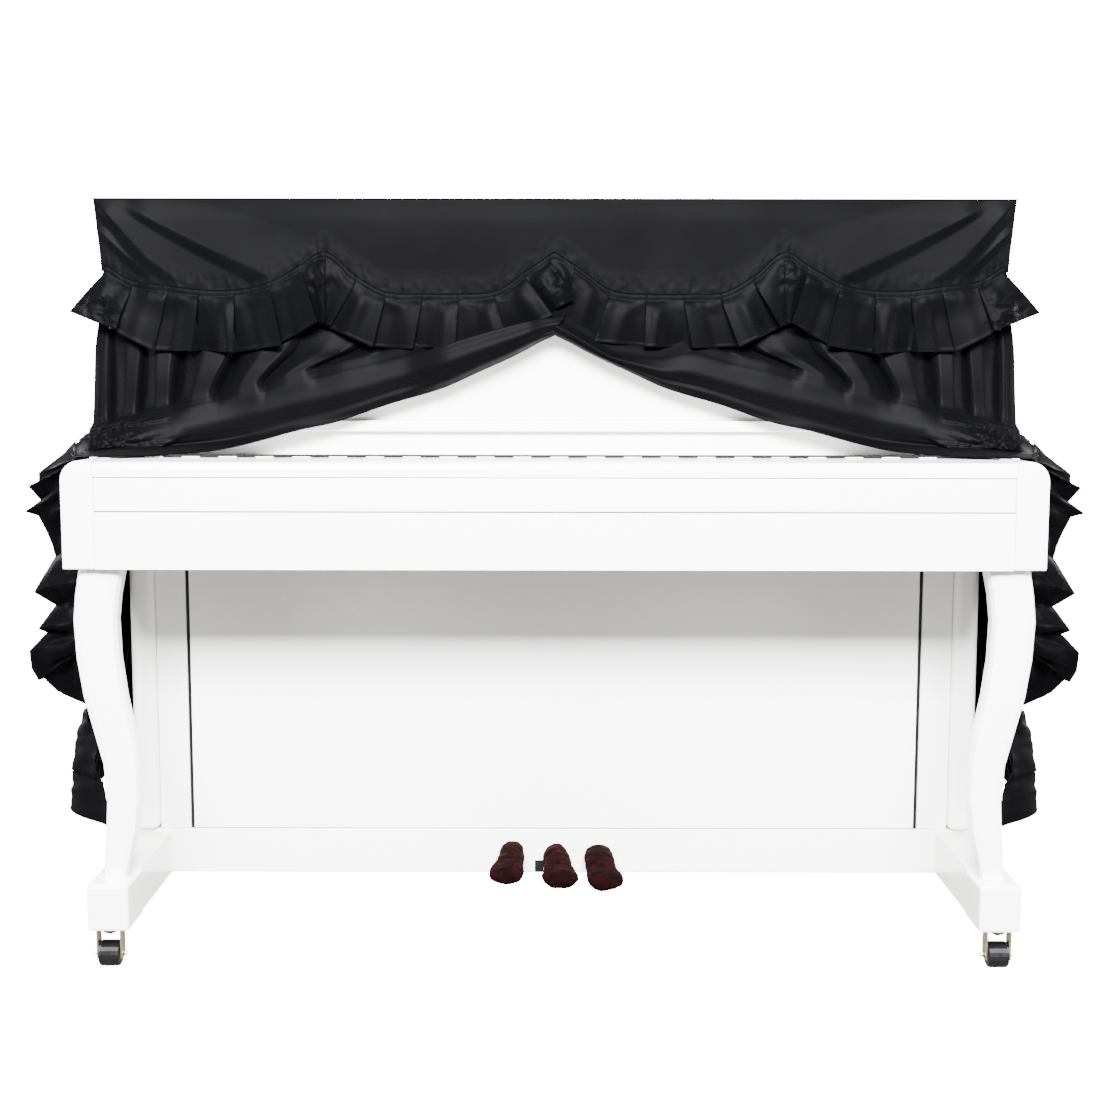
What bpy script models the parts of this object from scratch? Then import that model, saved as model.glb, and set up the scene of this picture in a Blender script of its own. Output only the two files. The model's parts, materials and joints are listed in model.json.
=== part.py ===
"""A satin cover with pleated frills, draped over a plain upright piano.

Metres, +Z up. The origin is on the floor, midway across and front to back, and the
keyboard side faces -Y. A depth is a distance back from the plane of the cheeks' fronts.
"""

import math

import bmesh
import bpy
from mathutils import Vector

# Overall placing
FRONT = -0.2908  # y of the cheeks' fronts
GAP = 0.0003  # between pieces that touch
SHADOW_GAP = 0.0014  # above and below the fallboard's rail
SIDES = (("left", -1), ("right", 1))

# Piano: half widths
HALF_KEYBED = 0.750
HALF_CASE = 0.7277
HALF_LID = 0.7530
HALF_FALLBOARD = 0.700
PANEL_EDGE = 0.6276
STRIP_EDGE = 0.6860
SIDE_BOARD = 0.025

# Piano: depths
LID_DEPTH = 0.2432
UPPER_PANEL_DEPTH = 0.262
LOWER_CASE_DEPTH = 0.289
LEDGE_DEPTH = 0.2470
NAME_BOARD_DEPTH = 0.2590
HINGE_DEPTH = 0.139
BACK_DEPTH = 0.578
BOARD = 0.018

# Piano: heights
RAIL_BOTTOM = 0.0731
RAIL_TOP = 0.1515
KEYBED_BOTTOM = 0.6425
KEYBED_THICK = 0.018
KEY_SLIP_TOP = 0.7300
FALL_RAIL_TOP = 0.7826
FALLBOARD_TOP = 0.8065
CHEEK_TOP = 0.8085
CHEEK_ROUND = 0.030
LEDGE_BOTTOM = 0.8452
LEDGE_TOP = 0.8635
LID_THICK = 0.022
LID_TOP = 1.2245

# Toe blocks and castors
TOE_INNER = 0.664
TOE_OUTER = 0.7286
TOE_TOP = 0.1475
CASTOR_X = 0.7070
CASTOR_FRONT_DEPTH = 0.046
CASTOR_REAR_DEPTH = 0.520
WHEEL_RADIUS = 0.0205
WHEEL_HALF = 0.0165

# A leg: height, distance from the middle of its outer and inner faces
LEG_SECTIONS = (
    (0.1478, 0.7110, 0.6750), (0.175, 0.7090, 0.6680), (0.222, 0.7050, 0.6560),
    (0.273, 0.7020, 0.6500), (0.332, 0.7060, 0.6500), (0.380, 0.7180, 0.6560),
    (0.440, 0.7330, 0.6680), (0.500, 0.7420, 0.6755), (0.560, 0.7450, 0.6775),
    (0.600, 0.7410, 0.6730), (0.6422, 0.7340, 0.6640),
)
LEG_DEPTH = 0.040
LEG_DEEP = 0.70  # half depth as a share of half width
LEG_ROUND = 0.42

# A pedal sleeve's sections: distance forward from the rail, how far it has changed from
# its rail end to its toe, and its size there, as shares
SLEEVE_SECTIONS = (
    (0.00, 0.00, 0.84), (0.12, 0.03, 1.00), (0.38, 0.18, 0.98), (0.58, 0.52, 0.93),
    (0.76, 0.90, 0.99), (0.91, 1.00, 0.86), (1.00, 1.00, 0.46),
)
SLEEVE_LENGTH = 0.105
# Each sleeve: x at the rail and at the toe, half width at the rail and at the toe, top at
# the rail, bottom of the toe
SLEEVES = (
    ("left", -0.0720, -0.0816, 0.0200, 0.0300, 0.1325, 0.0815),
    ("middle", 0.0044, 0.0114, 0.0215, 0.0305, 0.1275, 0.0750),
    ("right", 0.0779, 0.0875, 0.0235, 0.0312, 0.1275, 0.0705),
)
SLEEVE_RAIL_HIGH = 0.021  # half heights
SLEEVE_TOE_HIGH = 0.017
# The black plate at the pedals' opening: x and z ranges
SLOT_PLATE = ((-0.0330, -0.0178), (0.0742, 0.0955))
SLOT_PLATE_THICK = 0.0015

# Cover
CLOTH = 0.0012
HALF_TOP = 0.7585
TOP_FRONT_DEPTH = 0.2385
TOP_BACK_DEPTH = 0.5856
TOP_MIDDLE = LID_TOP + 0.0005 + CLOTH / 2
HANG_TOP = LID_TOP + 0.0001
BACK_DROP_DEPTH = 0.5834
YOKE_DEPTH = 0.2405
LAYER = CLOTH + GAP  # from the middle of a cloth to the middle of the one sewn on it
SEAM_ABOVE = 0.005
SEAM_BELOW = 0.006

# The scalloped seam: distance from the middle, height
SEAM = (
    (0.000, 1.136), (0.045, 1.106), (0.094, 1.073), (0.156, 1.067), (0.220, 1.067),
    (0.278, 1.070), (0.329, 1.097), (0.377, 1.135), (0.419, 1.113), (0.470, 1.085),
    (0.528, 1.073), (0.586, 1.073), (0.640, 1.080), (0.699, 1.089), (0.739, 1.112),
    (0.760, 1.118),
)

# Half width of the yoke and the side panels' fronts at a height
WAIST = (
    (0.30, 0.7800), (0.640, 0.7580), (0.810, 0.7545), (0.950, 0.7500), (1.085, 0.7465),
    (1.130, 0.7475), (1.167, 0.7510), (1.200, 0.7540), (1.2246, 0.7567),
)

# Folds of the yoke, fanning from its top corners: start (from the middle, height),
# end, half width at the end, height
YOKE_FOLDS = (
    ((0.745, 1.215), (0.490, 1.088), 0.022, 0.0075),
    ((0.700, 1.213), (0.425, 1.122), 0.020, 0.0055),
    ((0.742, 1.172), (0.660, 1.100), 0.013, 0.0045),
)

# Front edges of the frill's pleats from the corner to the middle: x at the seam,
# x at the hem, height of the hem, how far the face on its outer side stands forward
FRONT_PLEATS = (
    (-0.7395, -0.7930, 1.0440, 0.000),
    (-0.6970, -0.7180, 1.0180, 0.004),
    (-0.6380, -0.6600, 0.9770, 0.012),
    (-0.5860, -0.5960, 0.9770, 0.014),
    (-0.5280, -0.5270, 0.9745, 0.014),
    (-0.4690, -0.4480, 0.9870, 0.014),
    (-0.4160, -0.3900, 1.0240, 0.014),
    (-0.3770, -0.3790, 1.0230, 0.018),
    (-0.3280, -0.3700, 1.0190, 0.003),
    (-0.2800, -0.3000, 0.9840, 0.012),
    (-0.2190, -0.2340, 0.9810, 0.014),
    (-0.1590, -0.1640, 0.9840, 0.014),
    (-0.0990, -0.0780, 0.9930, 0.014),
    (-0.0490, -0.0110, 1.0360, 0.014),
    (-0.0080, 0.0240, 1.0500, 0.018),
    (0.0330, 0.0340, 1.0480, 0.002),
    (0.0900, 0.0650, 0.9930, 0.012),
    (0.1510, 0.1480, 0.9850, 0.014),
    (0.2130, 0.2280, 0.9830, 0.014),
    (0.2740, 0.3040, 0.9850, 0.014),
    (0.3280, 0.3700, 1.0190, 0.012),
    (0.3770, 0.3790, 1.0230, 0.003),
    (0.4160, 0.3900, 1.0240, 0.018),
    (0.4690, 0.4480, 0.9870, 0.014),
    (0.5280, 0.5270, 0.9745, 0.014),
    (0.5860, 0.5960, 0.9770, 0.014),
    (0.6380, 0.6600, 0.9770, 0.014),
    (0.6970, 0.7180, 1.0180, 0.012),
    (0.7395, 0.7930, 1.0440, 0.000),
)
FRILL_BACK = 0.231
PLEAT_STEP = 0.0035

# Folds of a curtain from its outer edge to the middle: distance from the middle at the
# rolled fold, at the frill's hem and at the seam, and how far the fold stands forward
CURTAIN_FOLDS = (
    (0.7660, 0.7620, 0.7440, 0.000),
    (0.7480, 0.7470, 0.7350, 0.009),
    (0.7220, 0.7210, 0.7160, -0.006),
    (0.7010, 0.6920, 0.6850, 0.008),
    (0.6720, 0.6700, 0.6640, -0.006),
    (0.6440, 0.6410, 0.6350, 0.010),
    (0.6140, 0.6010, 0.5850, -0.008),
    (0.5780, 0.5470, 0.5150, 0.010),
    (0.5360, 0.5030, 0.4620, -0.007),
    (0.4980, 0.4540, 0.4000, 0.009),
    (0.4610, 0.4040, 0.3450, -0.006),
    (0.4200, 0.3500, 0.2850, 0.008),
    (0.3700, 0.3000, 0.2350, -0.004),
    (0.3200, 0.2450, 0.1850, 0.004),
    (0.2600, 0.1900, 0.1350, 0.000),
    (0.2000, 0.1350, 0.0900, 0.000),
    (0.1400, 0.0900, 0.0550, 0.000),
    (0.0800, 0.0500, 0.0280, 0.000),
    (0.0300, 0.0180, 0.0100, 0.000),
    (0.0030, 0.0035, 0.0030, 0.000),
)

# A curtain's free edge: distance from the middle, height, depth
FREE_EDGE = (
    (0.000, 1.0063, 0.226), (0.067, 0.9702, 0.226), (0.125, 0.9439, 0.226),
    (0.184, 0.9176, 0.226), (0.273, 0.8912, 0.222), (0.360, 0.8616, 0.216),
    (0.419, 0.8485, 0.212), (0.491, 0.8289, 0.204), (0.547, 0.8170, 0.186),
    (0.603, 0.8125, 0.155), (0.660, 0.8112, 0.122), (0.735, 0.8112, 0.094),
)

# The top of the rolled fold along it: distance from the middle, height
ROLL_TOP = (
    (0.000, 1.037), (0.078, 1.019), (0.163, 0.996), (0.212, 0.981), (0.288, 0.958),
    (0.368, 0.940), (0.431, 0.925), (0.490, 0.911), (0.596, 0.888), (0.656, 0.873),
    (0.712, 0.855), (0.765, 0.841),
)

# Height of the curtain's turn under the frill where the left roll lies over the frill
UNDER_FRILL = ((0.000, 1.020), (0.050, 0.985), (0.100, 0.966), (0.260, 0.962))
ROLL_OVER_FULL = 0.170
ROLL_OVER_NONE = 0.250

# Sections of a curtain's tail outside the cheek: height, then distance from the middle
# and depth of its front edge, then the same and the height of its rear edge, its ripple
# and how far its middle bulges outwards
TAIL = (
    (0.8060, 0.7560, 0.1080, 0.7700, 0.2450, 0.8390, 0.000, 0.0150),
    (0.7800, 0.7600, 0.1200, 0.7860, 0.2750, 0.8020, 0.003, 0.0100),
    (0.7200, 0.7580, 0.1360, 0.7900, 0.3150, 0.7300, 0.006, 0.0),
    (0.6400, 0.7590, 0.1350, 0.7950, 0.3450, 0.6400, 0.008, 0.0),
    (0.5600, 0.7630, 0.1370, 0.8080, 0.3700, 0.5500, 0.009, 0.0),
    (0.4900, 0.7700, 0.1450, 0.8200, 0.3850, 0.4700, 0.009, 0.0),
)
TAIL_RIPPLES = 2.5
TAIL_FIRST = 5  # the point of a curtain's section where its tail begins

# The tail's frill down its front edge and back along its hem: share of the front edge
# (0 to 1) or of the hem (1 to 2), then the outer edge: distance from the middle,
# height, and depth
TAIL_FRILL = (
    (0.00, 0.789, 0.812, 0.165),
    (0.05, 0.824, 0.784, 0.150),
    (0.11, 0.845, 0.759, 0.140),
    (0.20, 0.832, 0.736, 0.165),
    (0.27, 0.853, 0.718, 0.140),
    (0.38, 0.826, 0.689, 0.158),
    (0.52, 0.806, 0.643, 0.175),
    (0.66, 0.841, 0.589, 0.135),
    (0.75, 0.820, 0.561, 0.170),
    (0.84, 0.837, 0.527, 0.135),
    (0.89, 0.830, 0.516, 0.165),
    (0.93, 0.860, 0.490, 0.145),
    (1.00, 0.860, 0.458, 0.145),
    (1.08, 0.846, 0.434, 0.160),
    (1.18, 0.822, 0.404, 0.180),
    (1.28, 0.796, 0.384, 0.205),
    (1.38, 0.838, 0.400, 0.230),
    (1.50, 0.808, 0.390, 0.260),
    (1.62, 0.842, 0.402, 0.290),
    (1.76, 0.815, 0.392, 0.325),
    (1.88, 0.846, 0.400, 0.355),
    (2.00, 0.828, 0.402, 0.385),
)

# Side panels and their frills
PANEL_BOTTOM = 0.362
PANEL_BACK_DEPTH = 0.5700
PANEL_ROWS = (1.2246, 1.200, 1.167, 1.130, 1.085, 1.000, 0.900, 0.810, 0.700, 0.600,
              0.500, 0.430, 0.378, PANEL_BOTTOM)
PANEL_FLARE = (
    (0.17, 0.8060), (0.362, 0.7960), (0.430, 0.7840), (0.500, 0.7730), (0.640, 0.7600),
    (0.810, 0.7545), (0.950, 0.7500), (1.085, 0.7465), (1.130, 0.7475), (1.167, 0.7510),
    (1.200, 0.7540), (1.2246, 0.7567),
)
PANEL_RIPPLES = 3.5
PANEL_REAR = 0.7345  # where the panel turns in behind, low on its rear edge
SIDE_SEAM = 1.1010
SIDE_FRILL_HEM = 1.0000
SIDE_FRILL_OUT = 0.7700
SIDE_FRILL_PLEATS = 6
HEM_FRILL_BOTTOM = 0.176
HEM_FRILL_PLEATS = 9
HEM_FRONT_OUT = 0.758


def y(depth):
    return FRONT + depth


def smooth(rows, x, column=1):
    """A column of rows at x, on a smooth curve through them. The first column rises."""
    i = 0
    while i < len(rows) - 2 and x > rows[i + 1][0]:
        i += 1
    slopes = []
    for k in (i, i + 1):
        before = rows[max(k - 1, 0)]
        after = rows[min(k + 1, len(rows) - 1)]
        slopes.append((after[column] - before[column]) / (after[0] - before[0]))
    width = rows[i + 1][0] - rows[i][0]
    t = min(max((x - rows[i][0]) / width, 0), 1)
    start = (1 + 2 * t) * (1 - t) ** 2 * rows[i][column] + t * (1 - t) ** 2 * width * slopes[0]
    end = t * t * (3 - 2 * t) * rows[i + 1][column] + t * t * (t - 1) * width * slopes[1]
    return start + end


def ease(t):
    t = min(max(t, 0), 1)
    return t * t * (3 - 2 * t)


def mix(a, b, t):
    return a + (b - a) * t


# Scene, materials and basic shapes


def clear_scene():
    for obj in list(bpy.data.objects):
        bpy.data.objects.remove(obj, do_unlink=True)


def make_material(name, color, roughness, metallic=0.0, sheen=0.0):
    material = bpy.data.materials.new(name)
    material.use_nodes = True
    shader = material.node_tree.nodes["Principled BSDF"]
    shader.inputs["Base Color"].default_value = (*color, 1)
    shader.inputs["Roughness"].default_value = roughness
    shader.inputs["Metallic"].default_value = metallic
    shader.inputs["Sheen Weight"].default_value = sheen
    return material


def add_object(name, bm, material):
    mesh = bpy.data.meshes.new(name)
    bm.to_mesh(mesh)
    bm.free()
    obj = bpy.data.objects.new(name, mesh)
    obj.data.materials.append(material)
    COLLECTION.objects.link(obj)
    return obj


def round_edges(obj, width, segments=2):
    bevel = obj.modifiers.new("Rounded edges", "BEVEL")
    bevel.width = width
    bevel.segments = segments
    bevel.limit_method = "ANGLE"
    obj.data.shade_smooth()
    obj.data.set_sharp_from_angle(angle=math.radians(40))
    return obj


def board(name, material, x, depth, z, rounding=0.0):
    """A box between two values on each axis, with y given as depths."""
    bm = bmesh.new()
    bmesh.ops.create_cube(bm, size=1)
    for vert in bm.verts:
        vert.co = (
            x[vert.co.x > 0],
            y(depth[vert.co.y > 0]),
            z[vert.co.z > 0],
        )
    obj = add_object(name, bm, material)
    if rounding:
        round_edges(obj, rounding)
    return obj


def between(side, inner, outer):
    """The x range between two distances from the middle, on the left or right side."""
    return sorted((side * inner, side * outer))


def bar(name, material, outline, x):
    """A closed (depth, height) outline carried along x."""
    bm = bmesh.new()
    verts = [bm.verts.new((x[0], y(depth), z)) for depth, z in outline]
    face = bm.faces.new(verts)
    swept = bmesh.ops.extrude_face_region(bm, geom=[face])
    moved = [item for item in swept["geom"] if isinstance(item, bmesh.types.BMVert)]
    bmesh.ops.translate(bm, vec=(x[1] - x[0], 0, 0), verts=moved)
    bmesh.ops.recalc_face_normals(bm, faces=bm.faces)
    return add_object(name, bm, material)


def sheet(name, us, vs, place, material=None):
    """Cloth of even thickness: place(u, v) is its middle at each of us and vs."""
    bm = bmesh.new()
    bmesh.ops.create_grid(bm, x_segments=len(us) - 1, y_segments=len(vs) - 1, size=0.5)
    for vert in bm.verts:
        u = us[round((vert.co.x + 0.5) * (len(us) - 1))]
        v = vs[round((vert.co.y + 0.5) * (len(vs) - 1))]
        vert.co = place(u, v)
    obj = add_object(name, bm, material or SATIN)
    solid = obj.modifiers.new("Cloth thickness", "SOLIDIFY")
    solid.thickness = CLOTH
    solid.offset = 0
    obj.data.shade_smooth()
    return obj


def steps(first, last, count):
    return [mix(first, last, i / count) for i in range(count + 1)]


# Piano


def make_case():
    inner = HALF_CASE - SIDE_BOARD
    lid_bottom = LID_TOP - LID_THICK
    core_depth = LOWER_CASE_DEPTH + BOARD + GAP
    side_outline = (
        (UPPER_PANEL_DEPTH, lid_bottom - GAP), (UPPER_PANEL_DEPTH, KEYBED_BOTTOM + GAP),
        (core_depth, KEYBED_BOTTOM + GAP), (core_depth, RAIL_BOTTOM),
        (BACK_DEPTH, RAIL_BOTTOM), (BACK_DEPTH, lid_bottom - GAP),
    )
    for word, side in SIDES:
        bar(f"case_side_{word}", WHITE, side_outline, between(side, inner, HALF_CASE))
        # Below the keybed the front corner is a pilaster and a flat strip
        pilaster = board(f"pilaster_{word}", WHITE, between(side, STRIP_EDGE, HALF_CASE),
                         (LOWER_CASE_DEPTH - 0.014, LOWER_CASE_DEPTH + BOARD),
                         (RAIL_TOP + GAP, KEYBED_BOTTOM - GAP))
        round_edges(pilaster, 0.013, 4)
        board(f"case_strip_{word}", WHITE, between(side, PANEL_EDGE + 0.006, STRIP_EDGE - GAP),
              (LOWER_CASE_DEPTH, LOWER_CASE_DEPTH + BOARD),
              (RAIL_TOP + GAP, KEYBED_BOTTOM - GAP), 0.002)
    inside = (-inner + GAP, inner - GAP)
    board("case_core", WHITE, inside, (core_depth, BACK_DEPTH), (RAIL_BOTTOM, lid_bottom - GAP))
    board("lid", WHITE, (-HALF_LID, HALF_LID), (LID_DEPTH, BACK_DEPTH), (lid_bottom, LID_TOP),
          0.003)
    board("upper_panel", WHITE, inside, (UPPER_PANEL_DEPTH, core_depth - GAP),
          (LEDGE_TOP + GAP, lid_bottom - GAP))
    board("music_ledge", WHITE, inside, (LEDGE_DEPTH, core_depth - GAP),
          (LEDGE_BOTTOM, LEDGE_TOP), 0.002)
    between_cheeks = (-HALF_FALLBOARD + GAP, HALF_FALLBOARD - GAP)
    board("name_board", WHITE, between_cheeks, (NAME_BOARD_DEPTH, core_depth - GAP),
          (FALLBOARD_TOP + GAP, LEDGE_BOTTOM - GAP))
    board("lower_panel", WHITE, (-PANEL_EDGE, PANEL_EDGE),
          (LOWER_CASE_DEPTH, LOWER_CASE_DEPTH + BOARD),
          (RAIL_TOP + 0.0012, KEYBED_BOTTOM - GAP), 0.0015)
    board("bottom_rail", WHITE, (-HALF_CASE, HALF_CASE),
          (LOWER_CASE_DEPTH, LOWER_CASE_DEPTH + BOARD), (RAIL_BOTTOM, RAIL_TOP), 0.002)


def make_keyboard():
    fall = (-HALF_FALLBOARD + GAP, HALF_FALLBOARD - GAP)
    rear = NAME_BOARD_DEPTH - GAP
    slot = 0.002  # half the gap in which the hinge lies
    nose = 0.012
    centre = FALLBOARD_TOP - nose
    arc = [(nose - nose * math.cos(a), centre + nose * math.sin(a))
           for a in steps(0, math.pi / 2, 4)]
    bottom = FALL_RAIL_TOP + SHADOW_GAP
    outline = [(HINGE_DEPTH - slot, bottom), (0, bottom), *arc,
               (HINGE_DEPTH - slot, FALLBOARD_TOP)]
    bar("fallboard", WHITE, outline, fall)
    board("fallboard_rear", WHITE, fall, (HINGE_DEPTH + slot, rear),
          (FALL_RAIL_TOP + GAP, FALLBOARD_TOP))
    board("hinge", BRASS, (fall[0] + 0.02, fall[1] - 0.02),
          (HINGE_DEPTH - slot + GAP, HINGE_DEPTH + slot - GAP),
          (FALL_RAIL_TOP + GAP, FALLBOARD_TOP - 0.001))
    board("fallboard_rail", WHITE, fall, (0.002, rear),
          (KEY_SLIP_TOP + SHADOW_GAP, FALL_RAIL_TOP), 0.0015)
    # The key slip covers the keybed's front edge
    keybed_top = KEYBED_BOTTOM + KEYBED_THICK
    slip_back = 0.001 + BOARD
    outline = [(0.001, KEYBED_BOTTOM), (slip_back, KEYBED_BOTTOM),
               (slip_back, keybed_top + GAP), (rear, keybed_top + GAP),
               (rear, KEY_SLIP_TOP), (0.001, KEY_SLIP_TOP)]
    bar("key_slip", WHITE, outline, fall)
    board("keybed", WHITE, fall, (slip_back + GAP, LOWER_CASE_DEPTH - GAP),
          (KEYBED_BOTTOM, keybed_top))
    for word, side in SIDES:
        cheek = board(f"cheek_{word}", WHITE, between(side, HALF_FALLBOARD, HALF_KEYBED),
                      (0, UPPER_PANEL_DEPTH - GAP), (KEYBED_BOTTOM, CHEEK_TOP))
        round_outer_edges(cheek, side)


def round_outer_edges(cheek, side):
    """Gives a cheek its broad round along the outer top edge and a softer front."""
    bm = bmesh.new()
    bm.from_mesh(cheek.data)
    outer = side * HALF_KEYBED
    broad = [edge for edge in bm.edges
             if all(abs(v.co.x - outer) < 1e-5 and abs(v.co.z - CHEEK_TOP) < 1e-5
                    for v in edge.verts)]
    bmesh.ops.bevel(bm, geom=broad, offset=CHEEK_ROUND, segments=6, profile=0.5,
                    affect="EDGES")
    bm.to_mesh(cheek.data)
    bm.free()
    round_edges(cheek, 0.003)


def make_leg(name, side):
    """An S-shaped leg: rounded square sections, one above the other."""
    bm = bmesh.new()
    rings = []
    centre_y = y(LEG_DEPTH)
    for z, outer, inner in LEG_SECTIONS:
        half = (outer - inner) / 2
        centre_x = side * (outer + inner) / 2
        deep = half * LEG_DEEP
        round_by = half * LEG_ROUND
        ring = []
        for quarter in range(4):
            turn = quarter * math.pi / 2
            corner_x = math.copysign(half - round_by, math.cos(turn + math.pi / 4))
            corner_y = math.copysign(deep - round_by, math.sin(turn + math.pi / 4))
            for a in steps(turn, turn + math.pi / 2, 2):
                ring.append(bm.verts.new((centre_x + corner_x + round_by * math.cos(a),
                                          centre_y + corner_y + round_by * math.sin(a), z)))
        rings.append(ring)
    for low, high in zip(rings, rings[1:]):
        for i, vert in enumerate(low):
            j = (i + 1) % len(low)
            bm.faces.new((vert, low[j], high[j], high[i]))
    bm.faces.new(list(reversed(rings[0])))
    bm.faces.new(rings[-1])
    obj = add_object(name, bm, WHITE)
    obj.data.shade_smooth()
    obj.data.set_sharp_from_angle(angle=math.radians(40))


def make_castor(word, x, depth):
    """A barrel wheel between two cheeks under a plate, turned so that it stands on a flat."""
    sides = 20
    bm = bmesh.new()
    bmesh.ops.create_cone(bm, cap_ends=True, segments=sides, radius1=1, radius2=1, depth=1)
    flat_radius = WHEEL_RADIUS / math.cos(math.pi / sides)
    for vert in bm.verts:
        across = vert.co.z * 2 * WHEEL_HALF
        turn = math.atan2(vert.co.y, vert.co.x) + math.pi / sides
        vert.co = (x + across, y(depth) + flat_radius * math.cos(turn),
                   WHEEL_RADIUS + flat_radius * math.sin(turn))
    round_edges(add_object(f"castor_wheel_{word}", bm, BLACK_RUBBER), 0.004)
    inner = WHEEL_HALF + 0.0008
    outer = inner + 0.003
    plate = RAIL_BOTTOM - GAP
    arch = plate - 0.005
    outline = [(-outer, 0.014), (-outer, plate), (outer, plate), (outer, 0.014),
               (inner, 0.014), (inner, arch), (-inner, arch), (-inner, 0.014)]
    bm = bmesh.new()
    verts = [bm.verts.new((x + across, y(depth) - 0.010, z)) for across, z in outline]
    face = bm.faces.new(verts)
    swept = bmesh.ops.extrude_face_region(bm, geom=[face])
    moved = [item for item in swept["geom"] if isinstance(item, bmesh.types.BMVert)]
    bmesh.ops.translate(bm, vec=(0, 0.020, 0), verts=moved)
    bmesh.ops.recalc_face_normals(bm, faces=bm.faces)
    add_object(f"castor_fork_{word}", bm, BRASS)


def make_stand():
    for word, side in SIDES:
        make_leg(f"leg_{word}", side)
        board(f"toe_block_{word}", WHITE, between(side, TOE_INNER, TOE_OUTER), (-0.004, 0.085),
              (RAIL_BOTTOM, TOE_TOP), 0.005)
        board(f"toe_arm_{word}", WHITE, between(side, TOE_INNER + 0.004, TOE_OUTER - 0.006),
              (0.0853, LOWER_CASE_DEPTH - 0.0003), (RAIL_BOTTOM, TOE_TOP), 0.002)
        make_castor(f"front_{word}", side * CASTOR_X, CASTOR_FRONT_DEPTH)
        make_castor(f"rear_{word}", side * (CASTOR_X - 0.03), CASTOR_REAR_DEPTH)


def make_sleeve(word, rail_x, toe_x, rail_half, toe_half, top, bottom):
    """A filled velvet sleeve from the bottom rail forward to its broad toe."""
    bm = bmesh.new()
    rings = []
    rail_depth = LOWER_CASE_DEPTH - GAP
    for along, lean, size in SLEEVE_SECTIONS:
        half = mix(rail_half, toe_half, lean) * size
        high = mix(SLEEVE_RAIL_HIGH, SLEEVE_TOE_HIGH, lean) * size
        centre = Vector((mix(rail_x, toe_x, lean), y(rail_depth - along * SLEEVE_LENGTH),
                         mix(top - SLEEVE_RAIL_HIGH, bottom + SLEEVE_TOE_HIGH, lean)))
        ring = [bm.verts.new(centre + Vector((half * math.cos(a), 0, high * math.sin(a))))
                for a in steps(0, 2 * math.pi, 14)[:-1]]
        rings.append(ring)
    for near, far in zip(rings, rings[1:]):
        for i, vert in enumerate(near):
            j = (i + 1) % len(near)
            bm.faces.new((vert, near[j], far[j], far[i]))
    bm.faces.new(rings[0])
    bm.faces.new(rings[-1])
    bmesh.ops.recalc_face_normals(bm, faces=bm.faces)
    add_object(f"pedal_sleeve_{word}", bm, VELVET).data.shade_smooth()


# Cover


def seam_height(x):
    return smooth(SEAM, abs(x))


def make_top():
    across = steps(-HALF_TOP, HALF_TOP, 12)
    back = [TOP_FRONT_DEPTH, 0.30, 0.42, 0.52, TOP_BACK_DEPTH]
    sheet("cover_top", across, back, lambda x, depth: (x, y(depth), TOP_MIDDLE))


def fold_height(folds, x, z):
    """How far the folds stand forward at a point of the yoke, x from the middle."""
    total = 0
    for start, end, half, height in folds:
        run = Vector(end) - Vector(start)
        offset = Vector((x, z)) - Vector(start)
        along = offset.dot(run) / run.length_squared
        across = abs(offset.cross(run)) / run.length
        reach = mix(0.35, 1.0, min(max(along, 0), 1)) * half
        profile = 1 - ease(across / reach)
        total += height * profile * ease(along / 0.25) * (1 - ease((along - 0.75) / 0.35))
    return total


def yoke_point(u, v):
    """The yoke's middle: u from -1 to 1 across, v from 0 at the lid to 1 at the seam."""
    reference = u * 0.7460
    low = seam_height(reference) - SEAM_BELOW
    flat = low + 0.028
    z = mix(HANG_TOP, flat, v / 0.8) if v < 0.8 else mix(flat, low, (v - 0.8) / 0.2)
    x = u * smooth(WAIST, z)
    forward = 0 if v >= 0.8 else fold_height(YOKE_FOLDS, abs(x), z) * (1 - ease((v - 0.65) / 0.15))
    return x, y(YOKE_DEPTH - forward), z


def make_yoke():
    sheet("cover_yoke", steps(-1, 1, 46), (0, 0.16, 0.32, 0.48, 0.64, 0.8, 1), yoke_point)


def frill_columns(pleats):
    """A frill's columns: each face runs from its back edge to its front edge, then a step
    takes the cloth back under the next face. Yields seam x, hem x, hem height, forward."""
    columns = []
    middle = len(pleats) // 2
    for i, (seam_x, hem_x, hem_z, forward) in enumerate(pleats):
        left = i <= middle
        shift = -PLEAT_STEP if left else PLEAT_STEP
        front = (seam_x, hem_x, hem_z, forward)
        back = (seam_x - shift * 0.5, hem_x - shift, hem_z + 0.002, 0.0)
        columns += [front, back] if left else [back, front]
    return columns


def make_front_frill():
    columns = frill_columns(FRONT_PLEATS)[:-1]
    columns = columns[:1] + columns[2:]

    def place(i, v):
        seam_x, hem_x, hem_z, forward = columns[i]
        low = seam_height(seam_x) - SEAM_BELOW
        if v < 0:
            return seam_x, y(YOKE_DEPTH - LAYER), low + SEAM_ABOVE + SEAM_BELOW
        if v == 0:
            return seam_x, y(YOKE_DEPTH - LAYER), low
        depth = mix(YOKE_DEPTH - LAYER, FRILL_BACK - forward, v ** 0.7)
        return mix(seam_x, hem_x, v), y(depth), mix(low, hem_z, v)

    sheet("frill_front", range(len(columns)), (-1, 0, 0.45, 1), place)


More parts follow.
